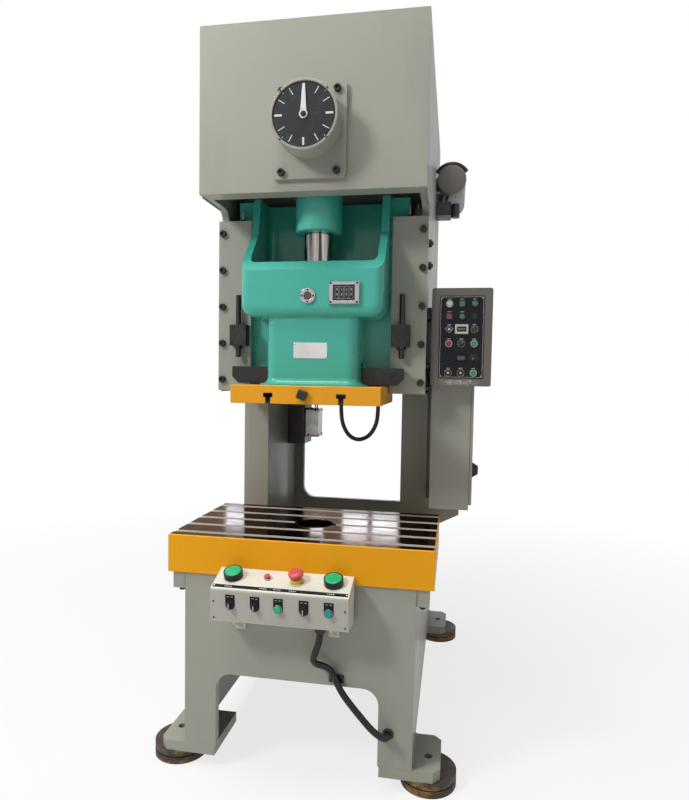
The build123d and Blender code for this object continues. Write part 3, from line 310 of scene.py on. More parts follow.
def moulded(name, tone, rough=0.35, coat=0.2, grain=0.08, dust=0.2):
    """Plastic or rubber with fine grain, handling marks and dust."""
    made = Surface(name, coat=coat, gloss=0.3)
    base = made.mottled(tone, 0.86, 1.10, 45, 4)
    base = made.stained(base, made.patches(0.56, 0.75, 18, 8, (1, 1, 1), 0.7), dust, (0.30, 0.28, 0.25, 1))
    return made.finish(base, made.sheen(30, 5, rough - 0.08, rough + 0.12), made.grain(900, 2, grain, 0.0003, 0.0008))


def panel_paint():
    """Grey paint, darkened as painted shade, with a smear of pale dust that has settled under the panel's face."""
    made = Surface("grey_paint_finish", coat=0.05, gloss=0.3)
    # The grey is darker than the paint itself: painted shade over the whole panel.
    tone = colour(108, 103, 96)
    base = made.mottled(tone, 0.92, 1.06, 2.4, 5)
    base = made.smeared(base, 0.3, shade(tone, 0.5), 5, (1.4, 1.4, 0.4))
    dust = made.patches(0.44, 0.60, 230, 6, (1, 1, 1), 0.7)
    for limit in (made.between(made.axis(2), 1.2395, 1.2470), made.between(made.axis(2), 1.2560, 1.2620, 1, 0),
                  made.between(made.away(made.axis(0), 0.478), 0.03, 0.07, 1, 0)):
        dust = made.times(dust, limit)
    base = made.stained(base, dust, 0.85, (0.62, 0.60, 0.55, 1))
    base = made.stained(base, made.chips(), 0.45, (0.07, 0.065, 0.06, 1))
    return made.sprayed(base, 0.38, 0.54)


def cast(name, tone, rough=0.55, metallic=0.6):
    """Rough casting, a little oily."""
    made = Surface(name, metallic=metallic)
    base = made.mottled(tone, 0.6, 1.25, 40, 8, (1, 1, 1), 0.7)
    return made.finish(base, made.sheen(20, 6, rough - 0.15, rough + 0.15), made.grain(300, 5, 0.35, 0.0006, 0.0015))


def bolster_surface():
    """Ground top that has gone brown with oil, painted sides, and pale slot walls that are a painted highlight."""
    made = Surface("bolster_finish", gloss=0.3)
    made.shader.inputs["Specular Tint"].default_value = (0.50, 0.44, 0.40, 1)
    half_width, half_depth, die_hole = 0.4165, 0.2415, 0.075
    across = made.above(made.away(made.axis(0), 0.0), half_width)
    along = made.above(made.away(made.axis(1), -origin_back / 1000), half_depth)
    outer = made.maths("MAXIMUM", across, along)
    painted = made.times(outer, made.below(made.facing(2), 0.9))
    grinding = made.noise(34, 6, (0.35, 22, 1), 0.7)
    steel = made.blend(grinding, (0.075, 0.050, 0.036, 1), (0.16, 0.115, 0.085, 1))
    steel = made.stained(steel, made.patches(0.42, 0.70, 7, 7, (1, 1, 1), 0.65), 0.7, (0.045, 0.028, 0.020, 1))
    steel = made.stained(steel, made.patches(0.70, 0.74, 55, 3, (0.12, 2.4, 1), 0.4), 0.6, (0.50, 0.45, 0.40, 1))
    # Slot walls get a pale, less metallic tone: a painted highlight along the slots' edges.
    painted_highlight_walls = made.times(made.below(made.facing(2), 0.5), made.rest(outer))
    offset = made.node("ShaderNodeVectorMath")
    offset.operation = "DISTANCE"
    made.link(made.coordinates, offset.inputs[0])
    offset.inputs[1].default_value = place(0, 0, 740)
    painted_highlight_walls = made.times(painted_highlight_walls, made.above(offset.outputs["Value"], die_hole))
    steel = made.blend(painted_highlight_walls, steel, (0.86, 0.80, 0.74, 1))
    tone = colour(245, 170, 24)
    yellow = made.mottled(tone, 0.93, 1.05, 4, 5)
    yellow = made.stained(yellow, made.patches(0.60, 0.80, 14, 7, (1, 1, 0.5), 0.65), 0.25, shade(tone, 0.5))
    chips = made.times(made.edges(0.003, 0.88, 0.99), made.patches(0.54, 0.64, 42, 6))
    yellow = made.stained(yellow, chips, 0.5, (0.16, 0.12, 0.09, 1))
    base = made.blend(painted, steel, yellow)
    bare = made.times(made.rest(painted), made.rest(made.times(painted_highlight_walls, 0.8)))
    made.link(bare, made.shader.inputs["Metallic"])
    polish = made.sheen(10, 6, 0.06, 0.15)
    rough = made.maths("MAXIMUM", polish, made.times(painted, 0.42))
    return made.finish(base, rough, made.relief(grinding, 0.05, 0.0003, made.rounded(0.0014)))


def ram_plate_surface(tone):
    """Yellow paint, with the T-slots coloured near black."""
    made = Surface("ram_plate_finish", coat=0.1, gloss=0.3)
    slot_x, neck_half, neck_top, head_half, head_low, head_top = 0.1175, 0.0085, 1.197, 0.0155, 1.1955, 1.2095
    across = made.away(made.away(made.axis(0), 0.0), slot_x)
    neck = made.times(made.below(across, neck_half), made.below(made.axis(2), neck_top))
    head = made.times(made.below(across, head_half), made.below(made.axis(2), head_top))
    head = made.times(head, made.above(made.axis(2), head_low))
    yellow = made.mottled(tone, 0.93, 1.05, 2.2, 5)
    yellow = made.smeared(yellow, 0.2, shade(tone, 0.45))
    yellow = made.stained(yellow, made.chips(), 0.5, primer)
    slot_black = made.blend(made.noise(60, 5), (0.006, 0.005, 0.004, 1), (0.022, 0.017, 0.013, 1))
    base = made.blend(made.maths("MAXIMUM", neck, head), yellow, slot_black)
    return made.sprayed(base, 0.29, 0.46)


def console_surface():
    """Cream paint on the sloping top, and a greyer tone on the front that is painted shade."""
    made = Surface("console_finish", coat=0.1, gloss=0.3)
    # Faces that look forward get a greyer tone: painted shade on the console's front.
    front = made.below(made.facing(1), -0.8)
    top = made.mottled(colour(226, 224, 212), 0.94, 1.04, 2.2, 5)
    face = made.mottled(colour(188, 184, 176), 0.92, 1.05, 2.2, 5)
    base = made.blend(front, top, face)
    base = made.smeared(base, 0.25, colour(112, 108, 98), 5)
    base = made.stained(base, made.chips(), 0.4, primer)
    return made.sprayed(base, 0.33, 0.50)


def screw_surface():
    """Polished steel with light and dark upright bands that are painted reflections, and finer dark upright streaks."""
    made = Surface("screw_finish", metallic=1.0)
    # Light and dark upright bands in the base colour: painted reflections on the polished screw.
    painted_reflection_bands = made.patches(0.42, 0.58, 70, 3, (1, 1, 0.03), 0.55)
    base = made.blend(painted_reflection_bands, (0.045, 0.038, 0.034, 1), (0.46, 0.44, 0.42, 1))
    base = made.stained(base, made.patches(0.42, 0.62, 330, 3, (1, 1, 0.02)), 0.55, (0.10, 0.09, 0.08, 1))
    return made.finish(base, made.sheen(14, 5, 0.10, 0.22), made.relief(made.noise(400, 3, (1, 1, 0.05)), 0.06, 0.0003))


def pad_surface():
    """Black-brown rubber with the frame's yellow paint worn into its rims."""
    made = Surface("pad_finish")
    rubber = made.blend(made.noise(30, 6), (0.018, 0.012, 0.008, 1), (0.055, 0.035, 0.022, 1))
    rim = made.below(made.facing(2), 0.6)
    worn = made.times(made.patches(0.50, 0.62, 13, 8, (1, 1, 2.2), 0.72), rim)
    base = made.blend(worn, rubber, colour(146, 108, 48))
    base = made.stained(base, made.patches(0.55, 0.75, 50, 6), 0.3, (0.22, 0.18, 0.13, 1))
    return made.finish(base, made.sheen(26, 5, 0.42, 0.75), made.grain(120, 6, 0.4, 0.0008, 0.0016))


def pump_surface():
    """Black tank with a bare die-cast pump head at its inner side."""
    made = Surface("pump_finish")
    tank_side = -0.1915
    head = made.above(made.axis(0), tank_side)
    tank = made.blend(made.noise(12, 6), (0.010, 0.008, 0.007, 1), (0.040, 0.030, 0.024, 1))
    metal = made.blend(made.noise(55, 6), (0.34, 0.33, 0.31, 1), (0.62, 0.60, 0.56, 1))
    base = made.blend(head, tank, metal)
    made.link(made.times(head, 0.85), made.shader.inputs["Metallic"])
    return made.finish(base, made.sheen(22, 5, 0.28, 0.50), made.grain(220, 4, 0.15, 0.0005, 0.0015))


def glass_surface(name, tone):
    """Lens over an oil level or a lamp, thick and slightly uneven."""
    made = Surface(name, coat=0.8)
    made.shader.inputs["Transmission Weight"].default_value = 0.35
    base = made.mottled(tone, 0.7, 1.2, 140, 3)
    return made.finish(base, made.sheen(60, 3, 0.04, 0.14), made.grain(200, 2, 0.05, 0.0004, 0.0008))


def face_surface():
    """Black printed sheet with fine scuffs."""
    made = Surface("panel_print", gloss=0.12)
    base = made.blend(made.noise(70, 6), (0.006, 0.007, 0.009, 1), (0.022, 0.024, 0.028, 1))
    base = made.stained(base, made.patches(0.62, 0.74, 90, 5, (3, 3, 0.4), 0.7), 0.3, (0.10, 0.10, 0.11, 1))
    return made.finish(base, made.sheen(16, 6, 0.26, 0.48), made.relief(made.noise(500, 2), 0.06, 0.0003))


frame_tone = colour(163, 162, 151)
green_tone = colour(70, 180, 162)
yellow_tone = colour(240, 165, 26)
materials = {
    "frame_paint": paint("frame_paint_finish", frame_tone, 0.46, 0.22, 0.5),
    "green_paint": paint("slide_paint_finish", green_tone, 0.27, 0.12, 0.25, (0.20, 0.22, 0.20, 1), 0.35),
    "yellow_paint": paint("plate_paint_finish", yellow_tone, 0.36, 0.2, 0.5),
    "bolster_steel": bolster_surface(),
    "bright_steel": machined("bright_finish", (0.26, 0.24, 0.23), 0.16, (3.5, 3.5, 0.12), 0.3,
                             (0.06, 0.045, 0.035, 1)),
    "black_steel": machined("black_oxide_finish", (0.045, 0.043, 0.042), 0.34, (1, 1, 1), 0.5,
                            (0.015, 0.012, 0.010, 1)),
    "machine_steel": machined("machined_finish", (0.50, 0.49, 0.47), 0.28, (1, 14, 1)),
    "cast_iron": cast("cast_finish", (0.16, 0.155, 0.15)),
    "bronze": machined("bronze_finish", (0.62, 0.42, 0.18), 0.3, (1, 12, 1)),
    "pad_rubber": pad_surface(),
    "belt_rubber": moulded("belt_finish", (0.022, 0.022, 0.022), 0.6, 0.0, 0.3, 0.35),
    "hose_rubber": moulded("hose_finish", (0.007, 0.007, 0.006), 0.36, 0.1, 0.1, 0.15),
    "dial_black": moulded("dial_finish", (0.009, 0.010, 0.012), 0.45, 0.05, 0.05, 0.12),
    "dial_white": paint("white_mark_finish", (0.78, 0.78, 0.76), 0.4, 0.1, 0.1),
    "console_paint": paint("console_paint_finish", colour(214, 211, 198), 0.40, 0.25, 0.4),
    "device_metal": machined("plated_finish", (0.44, 0.435, 0.425), 0.22, (1, 1, 1), 0.2),
    "green_plastic": moulded("green_cap_finish", colour(30, 186, 122), 0.26, 0.3, 0.05, 0.1),
    "teal_plastic": moulded("teal_cap_finish", colour(20, 150, 140), 0.26, 0.3, 0.05, 0.1),
    "red_plastic": moulded("red_cap_finish", colour(214, 88, 92), 0.34, 0.2, 0.05, 0.12),
    "black_plastic": moulded("black_plastic_finish", (0.012, 0.012, 0.012), 0.38),
    "grey_paint": panel_paint(),
    "motor_paint": paint("motor_paint_finish", colour(92, 104, 116), 0.42, 0.4, 0.4),
}
pump_finish = pump_surface()
receiver_paint = paint("receiver_paint_finish", colour(132, 126, 122), 0.5, 0.25, 0.3)
valve_finish = moulded("valve_finish", colour(62, 62, 74), 0.42, 0.1, 0.1, 0.25)
panel_print = face_surface()
yellow_plastic = moulded("yellow_collar_finish", colour(232, 206, 64), 0.35, 0.3, 0.05, 0.15)
white_plastic = moulded("white_plastic_finish", colour(196, 192, 182), 0.34, 0.25, 0.05, 0.15)
plate_metal = machined("plate_finish", (0.62, 0.61, 0.60), 0.36, (20, 1, 1), 0.15)
copper_line = machined("copper_finish", (0.60, 0.34, 0.20), 0.3, (1, 1, 1), 0.5)
display_glass = glass_surface("display_finish", (0.03, 0.035, 0.03))
oil_glass = glass_surface("oil_glass_finish", (0.10, 0.045, 0.02))
lamp_white = glass_surface("lamp_white_finish", (0.75, 0.76, 0.74))
lamp_green = glass_surface("lamp_green_finish", colour(28, 120, 84))
lamp_red = glass_surface("lamp_red_finish", colour(128, 28, 52))
deep_green = moulded("deep_green_finish", colour(44, 140, 108), 0.3, 0.3, 0.05, 0.1)
deep_red = moulded("deep_red_finish", colour(150, 36, 58), 0.3, 0.3, 0.05, 0.1)
weld_metal = cast("weld_finish", (0.33, 0.33, 0.29), 0.5, 0.0)

own_finishes = {"oil_pump": pump_finish, "air_receiver": receiver_paint, "air_valve": valve_finish,
                "key_selector": materials["black_plastic"], "ram_plate": ram_plate_surface(yellow_tone),
                "adjusting_screw": screw_surface(), "console_box": console_surface()}
node_slots = {part["node"]: part["material_slot"] for part in frame["record"]["subparts"]}
for node_name, piece in frame["nodes"].items():
    piece.data.materials.clear()
    piece.data.materials.append(own_finishes.get(node_name, materials[node_slots[node_name]]))


# Building meshes from turned profiles and prisms, in millimetres with local Z out of the surface

sharp_angle = math.radians(35)
rounded_angle = math.radians(50)


def turned(x, y, z, degrees, axis="X"):
    """Local frame at a point, turned about one axis."""
    return (Matrix.Translation(place(x, y, z)) @ Matrix.Rotation(math.radians(degrees), 4, axis)
            @ Matrix.Scale(0.001, 4))


def to_front(x, y, z):
    return turned(x, y, z, 90)


def to_back(x, y, z):
    return turned(x, y, z, -90)


def to_right(x, y, z):
    return turned(x, y, z, 90, "Y")


def to_left(x, y, z):
    return turned(x, y, z, -90, "Y")


def on_console_top(x, along=0.0):
    y, height = console_top_middle
    rise = math.radians(console_slope)
    return turned(x, y + along * math.cos(rise), height + along * math.sin(rise), console_slope)


def on_console_front(x, along=0.0):
    return moved(turned(x, *console_front_middle, 90 + console_lean), 0, along)


def moved(local, x, y, z=0.0):
    return local @ Matrix.Translation((x, y, z))


def spun(local, degrees):
    return local @ Matrix.Rotation(math.radians(degrees), 4, "Z")


def corners(local, half_x, half_y, z=0.0):
    """Local frames at the four corners of a rectangle."""
    return [moved(local, x, y, z) for x in (-half_x, half_x) for y in (-half_y, half_y)]


def on_circle(radius, degrees):
    angle = math.radians(degrees)
    return radius * math.cos(angle), radius * math.sin(angle)


def regular(radius, sides):
    return [on_circle(radius, 360 * index / sides) for index in range(sides)]


def lathe(mesh, local, profile, segments=32):
    """Turn (radius, height) points round local Z. A radius of 0 closes the end."""
    rings = []
    for radius, height in profile:
        outline = regular(radius, segments if radius else 1)
        rings.append([mesh.verts.new(local @ Vector((*point, height))) for point in outline])
    for low, high in zip(rings, rings[1:]):
        for index in range(segments):
            after = (index + 1) % segments
            if len(low) == 1:
                mesh.faces.new((low[0], high[index], high[after]))
            elif len(high) == 1:
                mesh.faces.new((low[index], high[0], low[after]))
            else:
                mesh.faces.new((low[index], high[index], high[after], low[after]))


def disc(mesh, local, radius, low, high, segments=24):
    lathe(mesh, local, [(0, low), (radius, low), (radius, high), (0, high)], segments)


def bridge(mesh, low, high):
    """Wall between two rings of as many points."""
    for index in range(len(low)):
        after = (index + 1) % len(low)
        mesh.faces.new((low[index], low[after], high[after], high[index]))


def level_rings(mesh, local, levels):
    return [[mesh.verts.new(local @ Vector((x, y, level))) for x, y in outline] for outline, level in levels]


def stack(mesh, local, levels):
    """Solid that runs through (outline, height) levels from bottom to top."""
    rings = level_rings(mesh, local, levels)
    for low, high in zip(rings, rings[1:]):
        bridge(mesh, low, high)
    mesh.faces.new(rings[-1])
    mesh.faces.new(rings[0][::-1])


def prism(mesh, local, outline, low, high):
    """Straight prism over a flat outline of (x, y) points."""
    stack(mesh, local, [(outline, low), (outline, high)])


def rectangle(half_x, half_y, corner=0.0):
    """Outline of a rectangle, its corners rounded by short chords."""
    if not corner:
        return [(-half_x, -half_y), (half_x, -half_y), (half_x, half_y), (-half_x, half_y)]
    points = []
    for sign_x, sign_y, start in ((1, 1, 0), (-1, 1, 90), (-1, -1, 180), (1, -1, 270)):
        for step in range(5):
            across, along = on_circle(corner, start + step * 22.5)
            points.append((sign_x * (half_x - corner) + across, sign_y * (half_y - corner) + along))
    return points


def ring_plate(mesh, local, outer, inner, low, high):
    """Prism with a hole. Both outlines have the same number of points."""
    rings = level_rings(mesh, local, [(outer, low), (outer, high), (inner, high), (inner, low)])
    for first, second in zip(rings, rings[1:] + rings[:1]):
        bridge(mesh, first, second)


def socket_head(mesh, local, radius, height, key):
    """Cap screw's head: knurled side, chamfered rim and a six-sided socket."""
    teeth = 48
    grip = []
    hexagon = []
    for index in range(teeth):
        turn = 360 * index / teeth
        grip.append(on_circle(radius if index % 2 else radius * 0.955, turn))
        inside = math.radians(turn % 60 - 30)
        hexagon.append(on_circle(key * math.cos(math.pi / 6) / math.cos(inside), turn))
    socket_floor = height * 0.45
    stack(mesh, local, [(grip, 0), (grip, height * 0.88), (regular(radius * 0.86, teeth), height),
                        (hexagon, height), (hexagon, socket_floor)])


def hex_head(mesh, local, radius, height):
    """Six-sided head or nut with its corners turned off at the top."""
    outline = regular(radius, 6)
    stack(mesh, local, [(outline, 0), (outline, height * 0.82), (regular(radius * 0.88, 6), height)])


def washer_nut(mesh, local, washer, thick, radius, height):
    """Six-sided nut on a round washer."""
    disc(mesh, local, washer, 0, thick)
    hex_head(mesh, moved(local, 0, 0, thick), radius, height)


def shaped(build, places, *form):
    """New mesh with one form at each place."""
    mesh = bmesh.new()
    for local in places:
        build(mesh, local, *form)
    return mesh


def add_piece(name, data, slot, body, finish):
    """Put mesh or curve data into the scene as a piece that rides on a body."""
    data.materials.clear()
    data.materials.append(finish or materials[slot])
    piece = bpy.data.objects.new(name, data)
    scene.collection.objects.link(piece)
    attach(piece, body)
    return piece


def finish_piece(name, mesh, slot, body="frame", finish=None, bevel=0):
    """Turn the gathered faces into a piece, its edges rounded where a bevel is given."""
    bmesh.ops.recalc_face_normals(mesh, faces=mesh.faces)
    data = bpy.data.meshes.new(name)
    mesh.to_mesh(data)
    mesh.free()
    data.shade_smooth()
    data.set_sharp_from_angle(angle=sharp_angle)
    piece = add_piece(name, data, slot, body, finish)
    if bevel:
        rounding = piece.modifiers.new("edge rounding", "BEVEL")
        rounding.width = bevel
        rounding.segments = 2
        rounding.limit_method = "ANGLE"
        rounding.angle_limit = rounded_angle
    return piece


def curve_piece(name, lines, radius, slot, body="frame", finish=None, order=3):
    """Tubes of one radius along open lines of points."""
    curve = bpy.data.curves.new(name, "CURVE")
    curve.dimensions = "3D"
    for points in lines:
        spline = curve.splines.new("NURBS")
        spline.points.add(len(points) - 1)
        for point, target in zip(spline.points, points):
            point.co = (*place(*target), 1)
        spline.order_u = order
        spline.use_endpoint_u = True
    curve.resolution_u = 12
    curve.bevel_depth = radius / 1000
    curve.bevel_resolution = 6
    curve.use_fill_caps = True
    return add_piece(name, curve, slot, body, finish)


def lettering(name, text, size, local, body="frame"):
    """Raised white digits, turned into a mesh."""
    font = bpy.data.curves.new(name, "FONT")
    font.body = text
    font.size = size
    font.align_x = "CENTER"
    font.align_y = "CENTER"
    font.extrude = 0.15
    holder = bpy.data.objects.new(name, font)
    scene.collection.objects.link(holder)
    bpy.context.view_layer.update()
    data = bpy.data.meshes.new_from_object(holder)
    bpy.data.objects.remove(holder)
    data.transform(local)
    return add_piece(name, data, "dial_white", body, None)


# Cords

conduit_route = [
    (89, -300, 512), (89, -300, 484), (74, -290, 442), (64, -281, 414), (70, -272, 396), (94, -263, 388),
    (117, -258, 374), (130, -255, 342), (151, -258, 305), (186, -270, 272), (222, -279, 239),
    (250, -284, 214), (275, -281, 196), (291, -268, 185), (291, -243, 185)]
hose_route = [
    (49, 199, 1184), (49, 199, 1140), (55, 199, 1088), (79, 199, 1044), (117, 199, 1028),
    (158, 199, 1046), (183, 199, 1090), (188, 199, 1140), (188, 199, 1184)]

conduit = curve_piece("conduit_hose", [conduit_route], 10, "hose_rubber")
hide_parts("console_conduit")
hose = curve_piece("ram_oil_hose", [hose_route], 7.5, "hose_rubber", "ram")
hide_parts("oil_hose")


# Screws and nuts of the frame, in place of the plain ones

screws = bmesh.new()
for step in range(5):
    for x in (-gib_bolt_x, gib_bolt_x):
        socket_head(screws, to_front(x, gib_face, gib_bolt_low + gib_bolt_step * step), 12, 12, 6.4)
for height in dial_bolt_heights:
    for x in (-dial_bolt_x, dial_bolt_x):
        socket_head(screws, to_front(x, dial_plate_face, height), 11.5, 12, 6.2)
frame_screws = finish_piece("frame_screws", screws, "black_steel")
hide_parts("frame_bolts")

studs = bmesh.new()
for height in side_screw_heights:
    for local in (to_right(side_face, side_screw_y, height), to_left(-side_face, side_screw_y, height)):
        washer_nut(studs, local, 14.5, 1.5, 13, 8.5)
        lathe(studs, local, [(0, 9), (7, 9), (7, 13.8), (6, 15), (3.4, 15), (3.4, 11), (0, 11)], 24)
for x in (-lug_x, lug_x):
    for y in (-lug_y, lug_y):
        washer_nut(studs, turned(x, y, lug_low, 180), 11.5, 1.5, 10, 10.5)
for x in (-285, 285):
    hex_head(studs, turned(x, 11, stopper_bottom, 180), 15, 10)
finish_piece("frame_nuts", studs, "black_steel")

# Weld beads where the plates meet

beads = []
for side_sign in (-1, 1):
    x = side_sign * (side_face + 1)
    for line in ((-238, -140, -41, 80), (856, 955, 1054, 80), (gib_face + 33, 180, 249, 1207)):
        beads.append([(x, y, line[3]) for y in line[:3]])
    for y in (-lug_y, lug_y):
        for half in (-1, 1):
            beads.append([(x, y + half * 22, 637), (x, y + half * 23, 610), (x, y + half * 22, 584)])
beads.append([(-340, -213, 636), (0, -213, 637), (340, -213, 636)])
for x in (1 - side_face, side_face - 1):
    beads.append([(x, y, crown_underside - 1) for y in (-117, 0, 60)])
curve_piece("weld_beads", beads, 3.2, "frame_paint", finish=weld_metal)

# Dial: marks, rim screws and the nut that holds the pointer

marks = bmesh.new()
dial = to_front(0, dial_face_front, crank_height)
for hour in range(12):
    thick = 6.2 if hour % 3 == 0 else 2.6
    prism(marks, moved(spun(dial, -30 * hour), 0, 78.5), rectangle(thick / 2, 11.5), 0, 0.35)
diagonals = [spun(dial, turn) for turn in (45, 135, 225, 315)]
for spot in diagonals:
    disc(marks, moved(spot, 0, 91), 1.5, 0, 0.35, 16)
finish_piece("dial_marks", marks, "dial_white")
finish_piece("dial_rim_screws", shaped(socket_head, [moved(spot, 0, 101, 3) for spot in diagonals], 2.9, 1.6, 1.5),
             "black_steel")

hub = shaped(washer_nut, [to_front(0, pointer_front, crank_height)], 8.5, 1.2, 7, 4.2)
finish_piece("pointer_nut", hub, "black_steel", "crank")

# Oil gauge on the slide: flange with a chamfered rim, four screws and a domed lens

gauge_place = to_front(-7, slide_face, 1520)
flange = shaped(lathe, [gauge_place], [(25, 0), (25, 4.6), (23.6, 6), (14.2, 6), (13, 4.8), (13, 2.4)], 48)
gauge = finish_piece("oil_gauge_flange", flange, "device_metal", "ram", bevel=0.0002)
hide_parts("oil_gauge")
lens = shaped(lathe, [gauge_place], [(13, 2.2), (12, 4.4), (8, 5.0), (0, 5.2)], 40)
finish_piece("oil_gauge_lens", lens, "black_plastic", "ram", finish=oil_glass)
gauge_spots = [moved(spun(gauge_place, turn), 19, 0, 5.6) for turn in (0, 90, 180, 270)]
finish_piece("oil_gauge_screws", shaped(socket_head, gauge_spots, 3.2, 1.8, 1.7), "black_steel", "ram")

# Height indicator: corner screws, dark window plate and rows of digits

indicator = to_front(112, slide_face - 12, 1528.5)
corner_screws = shaped(socket_head, corners(indicator, 42.5, 30), 3.6, 1.2, 1.8)
finish_piece("indicator_screws", corner_screws, "black_steel", "ram")
window = shaped(prism, [indicator], rectangle(34.5, 24), -3.9, -2.6)
finish_piece("indicator_window", window, "dial_black", "ram", bevel=0.0002)
drums = shaped(ring_plate, [moved(indicator, -22.5 + 15 * column, 0) for column in range(4)],
               rectangle(6.2, 19), rectangle(5.4, 18.2), -2.6, -1.9)
finish_piece("indicator_frames", drums, "device_metal", "ram")
for row, text in enumerate(("9 2 5 9", "0 3 6 0")):
    for column, digit in enumerate(text.split()):
        local = moved(indicator, -22.5 + 15 * column, 9 - 15 * row, -2.45)
        lettering(f"indicator_digit_{row}_{column}", digit, 10.5, local, "ram")

# Bare plate on the slide's neck, held by four rivets

plate_place = to_front(-2, neck_face, 1347)
plate = shaped(prism, [plate_place], rectangle(56, 25.5, 4), 0, 1.2)
finish_piece("slide_plate", plate, "device_metal", "ram", finish=plate_metal, bevel=0.0002)
rivets = shaped(lathe, corners(plate_place, 51, 20.5, 1.2), [(2.4, 0), (2.1, 0.8), (1.2, 1.3), (0, 1.5)], 16)
finish_piece("slide_plate_rivets", rivets, "device_metal", "ram")

# Stopper blocks: four screws each

block_spots = [to_front(x, -5, height) for x in (-259, -305, 259, 305) for height in (1377, 1427)]
finish_piece("stopper_block_screws", shaped(socket_head, block_spots, 4.6, 3.2, 2.4), "black_steel")

# Oil lines from the crown down to the guides, with a small distributor on the right

curve_piece("guide_oil_lines", [
    [(x, guide_oil_y, height) for x, height in line]
    for line in (((-282, crown_underside), (-282, 1822), (-283, 1808), (-283, gib_top - 1)),
                 ((301, crown_underside), (301, 1830), (302, 1812), (302, gib_top - 1)),
                 ((328, crown_underside), (328, 1836), (328, 1830), (328, gib_top + 26)))],
    3.2, "bronze", finish=copper_line)
distributor = bmesh.new()
prism(distributor, turned(328, guide_oil_y, gib_top, 0), rectangle(11, 9, 1.5), 0, 26)
for x in (-283, 302):
    hex_head(distributor, turned(x, guide_oil_y, gib_top, 0), 6.5, 9)
finish_piece("guide_oil_fittings", distributor, "black_steel", bevel=0.0003)

# Console: cups, collar, rings, legend plates, strip and screws

cups = shaped(lathe, map(on_console_top, palm_xs.values()),
              [(6.3, 0), (29, 0), (29, 19.6), (28.4, 20.6), (27.2, 20.6), (26.2, 19.6), (26.2, 3), (6.3, 3), (6.3, 0)],
              56)
palm_cups = finish_piece("palm_cups", cups, "black_plastic")
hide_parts("console_guards")
cap_profile = [(0, -8), (6, -8), (6, 9), (24.6, 9), (25.4, 10), (25.4, 19.4), (24.6, 20.6), (22.6, 21.2),
               (12, 21.8), (0, 22)]
for side_name, x in palm_xs.items():
    cap = shaped(lathe, [on_console_top(x)], cap_profile, 56)
    palm = finish_piece(f"palm_cap_{side_name}", cap, "green_plastic", f"palm_{side_name}")
    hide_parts(f"palm_button_{side_name}")
head = shaped(lathe, [on_console_top(stop_x)],
              [(0, 3), (12, 3), (12, 19.5), (21.5, 20.4), (23, 22), (23.4, 25), (22.6, 29), (19, 32.4), (11, 34),
               (0, 34)], 56)
stop_head = finish_piece("stop_head", head, "red_plastic", "stop_button")
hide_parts("emergency_stop")
small = shaped(lathe, [on_console_top(reset_x)],
               [(0, 3), (7, 3), (7, 7.8), (9, 7.8), (9.5, 8.5), (9.5, 10.4), (8.6, 11.5), (0, 11.7)], 40)
reset_cap = finish_piece("reset_cap", small, "red_plastic", "reset")
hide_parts("reset_button")
collar = shaped(lathe, [on_console_top(stop_x)],
                [(12.4, 0), (19.4, 0), (19.4, 11), (18.2, 12.4), (12.4, 12.4), (12.4, 0)], 48)
finish_piece("stop_collar_ring", collar, "yellow_paint", finish=yellow_plastic)
base_ring = shaped(lathe, [on_console_top(reset_x)],
                   [(0, 0.2), (7.4, 0.2), (7.4, 4.2), (8.2, 5), (10, 4.6), (11.4, 3), (11.4, 0), (0, 0)], 32)
finish_piece("reset_base", base_ring, "dial_white", finish=white_plastic)
ring_profile = [(0, 0.3), (11.4, 0.3), (11.4, 3.2), (11.8, 3.8), (12.4, 3.8), (13, 2.8), (13, 0), (0, 0)]
for name, places, slot_name in (("selector_rings", selector_xs, "black_plastic"),
                                ("button_rings", button_xs, "device_metal")):
    finish_piece(name, shaped(lathe, map(on_console_front, places), ring_profile, 40), slot_name)
tag = []
tag_hole = []
tag_corner = math.degrees(math.atan2(31, 14.6))
for turn in sorted([*range(0, 360, 15), tag_corner, 180 - tag_corner]):
    across, along = on_circle(1, turn)
    reach = 14.6 if along <= 0 else min(14.6 / max(abs(across), 0.01), 31 / along)
    tag.append((reach * across, reach * along))
    tag_hole.append(on_circle(12.5, turn))
legends = shaped(ring_plate, map(on_console_front, front_devices), tag, tag_hole, 0, 0.8)
finish_piece("legend_plates", legends, "black_plastic", finish=panel_print)
legend_spots = [on_console_front(x + lean, 25) for x in front_devices for lean in (-6, 6)]
finish_piece("legend_marks", shaped(prism, legend_spots, rectangle(3.6, 0.6), 0.8, 0.95), "dial_white")
strip = shaped(prism, [on_console_top(console_middle, strip_along)], rectangle(205, 6.4), 0, 0.7)
finish_piece("console_strip", strip, "black_plastic", finish=panel_print)
strip_marks = bmesh.new()
for x in (-185, -78, -35, 12, 126):
    for lean in (-9, -3, 3, 9):
        prism(strip_marks, on_console_top(x + lean, strip_along), rectangle(2.1, 1.5), 0.7, 0.85)
for x in (-229, 173):
    disc(strip_marks, on_console_top(x, strip_along), 2.6, 0.7, 0.85, 20)
finish_piece("console_strip_marks", strip_marks, "dial_white")
console_screws = shaped(socket_head, corners(on_console_front(console_middle, -17), 199, 25), 2.6, 1.6, 1.4)
finish_piece("console_cover_screws", console_screws, "black_steel")
for x, body in zip(selector_xs, ("mode", "feed", "key")):
    stroke = shaped(prism, [on_console_front(x)], rectangle(1.1, 8.2), 15.75, 16.05)
    finish_piece(f"{body}_mark", stroke, "dial_white", body)

gland = shaped(lathe, [turned(*conduit_gland_at, 180)],
               [(10.2, 0), (17, 0), (17, 10), (14.5, 13), (14.5, 22), (10.6, 26), (10.2, 26), (10.2, 0)], 32)
finish_piece("conduit_gland", gland, "black_plastic")
grommet = shaped(lathe, [to_front(*conduit_grommet_at)],
                 [(10.2, 0), (17.5, 0), (17.5, 2.4), (15, 4.6), (11.6, 5), (10.2, 4), (10.2, 0)], 36)
finish_piece("conduit_grommet", grommet, "black_plastic")

# Control panel: printed sheet with a pale border line and its devices

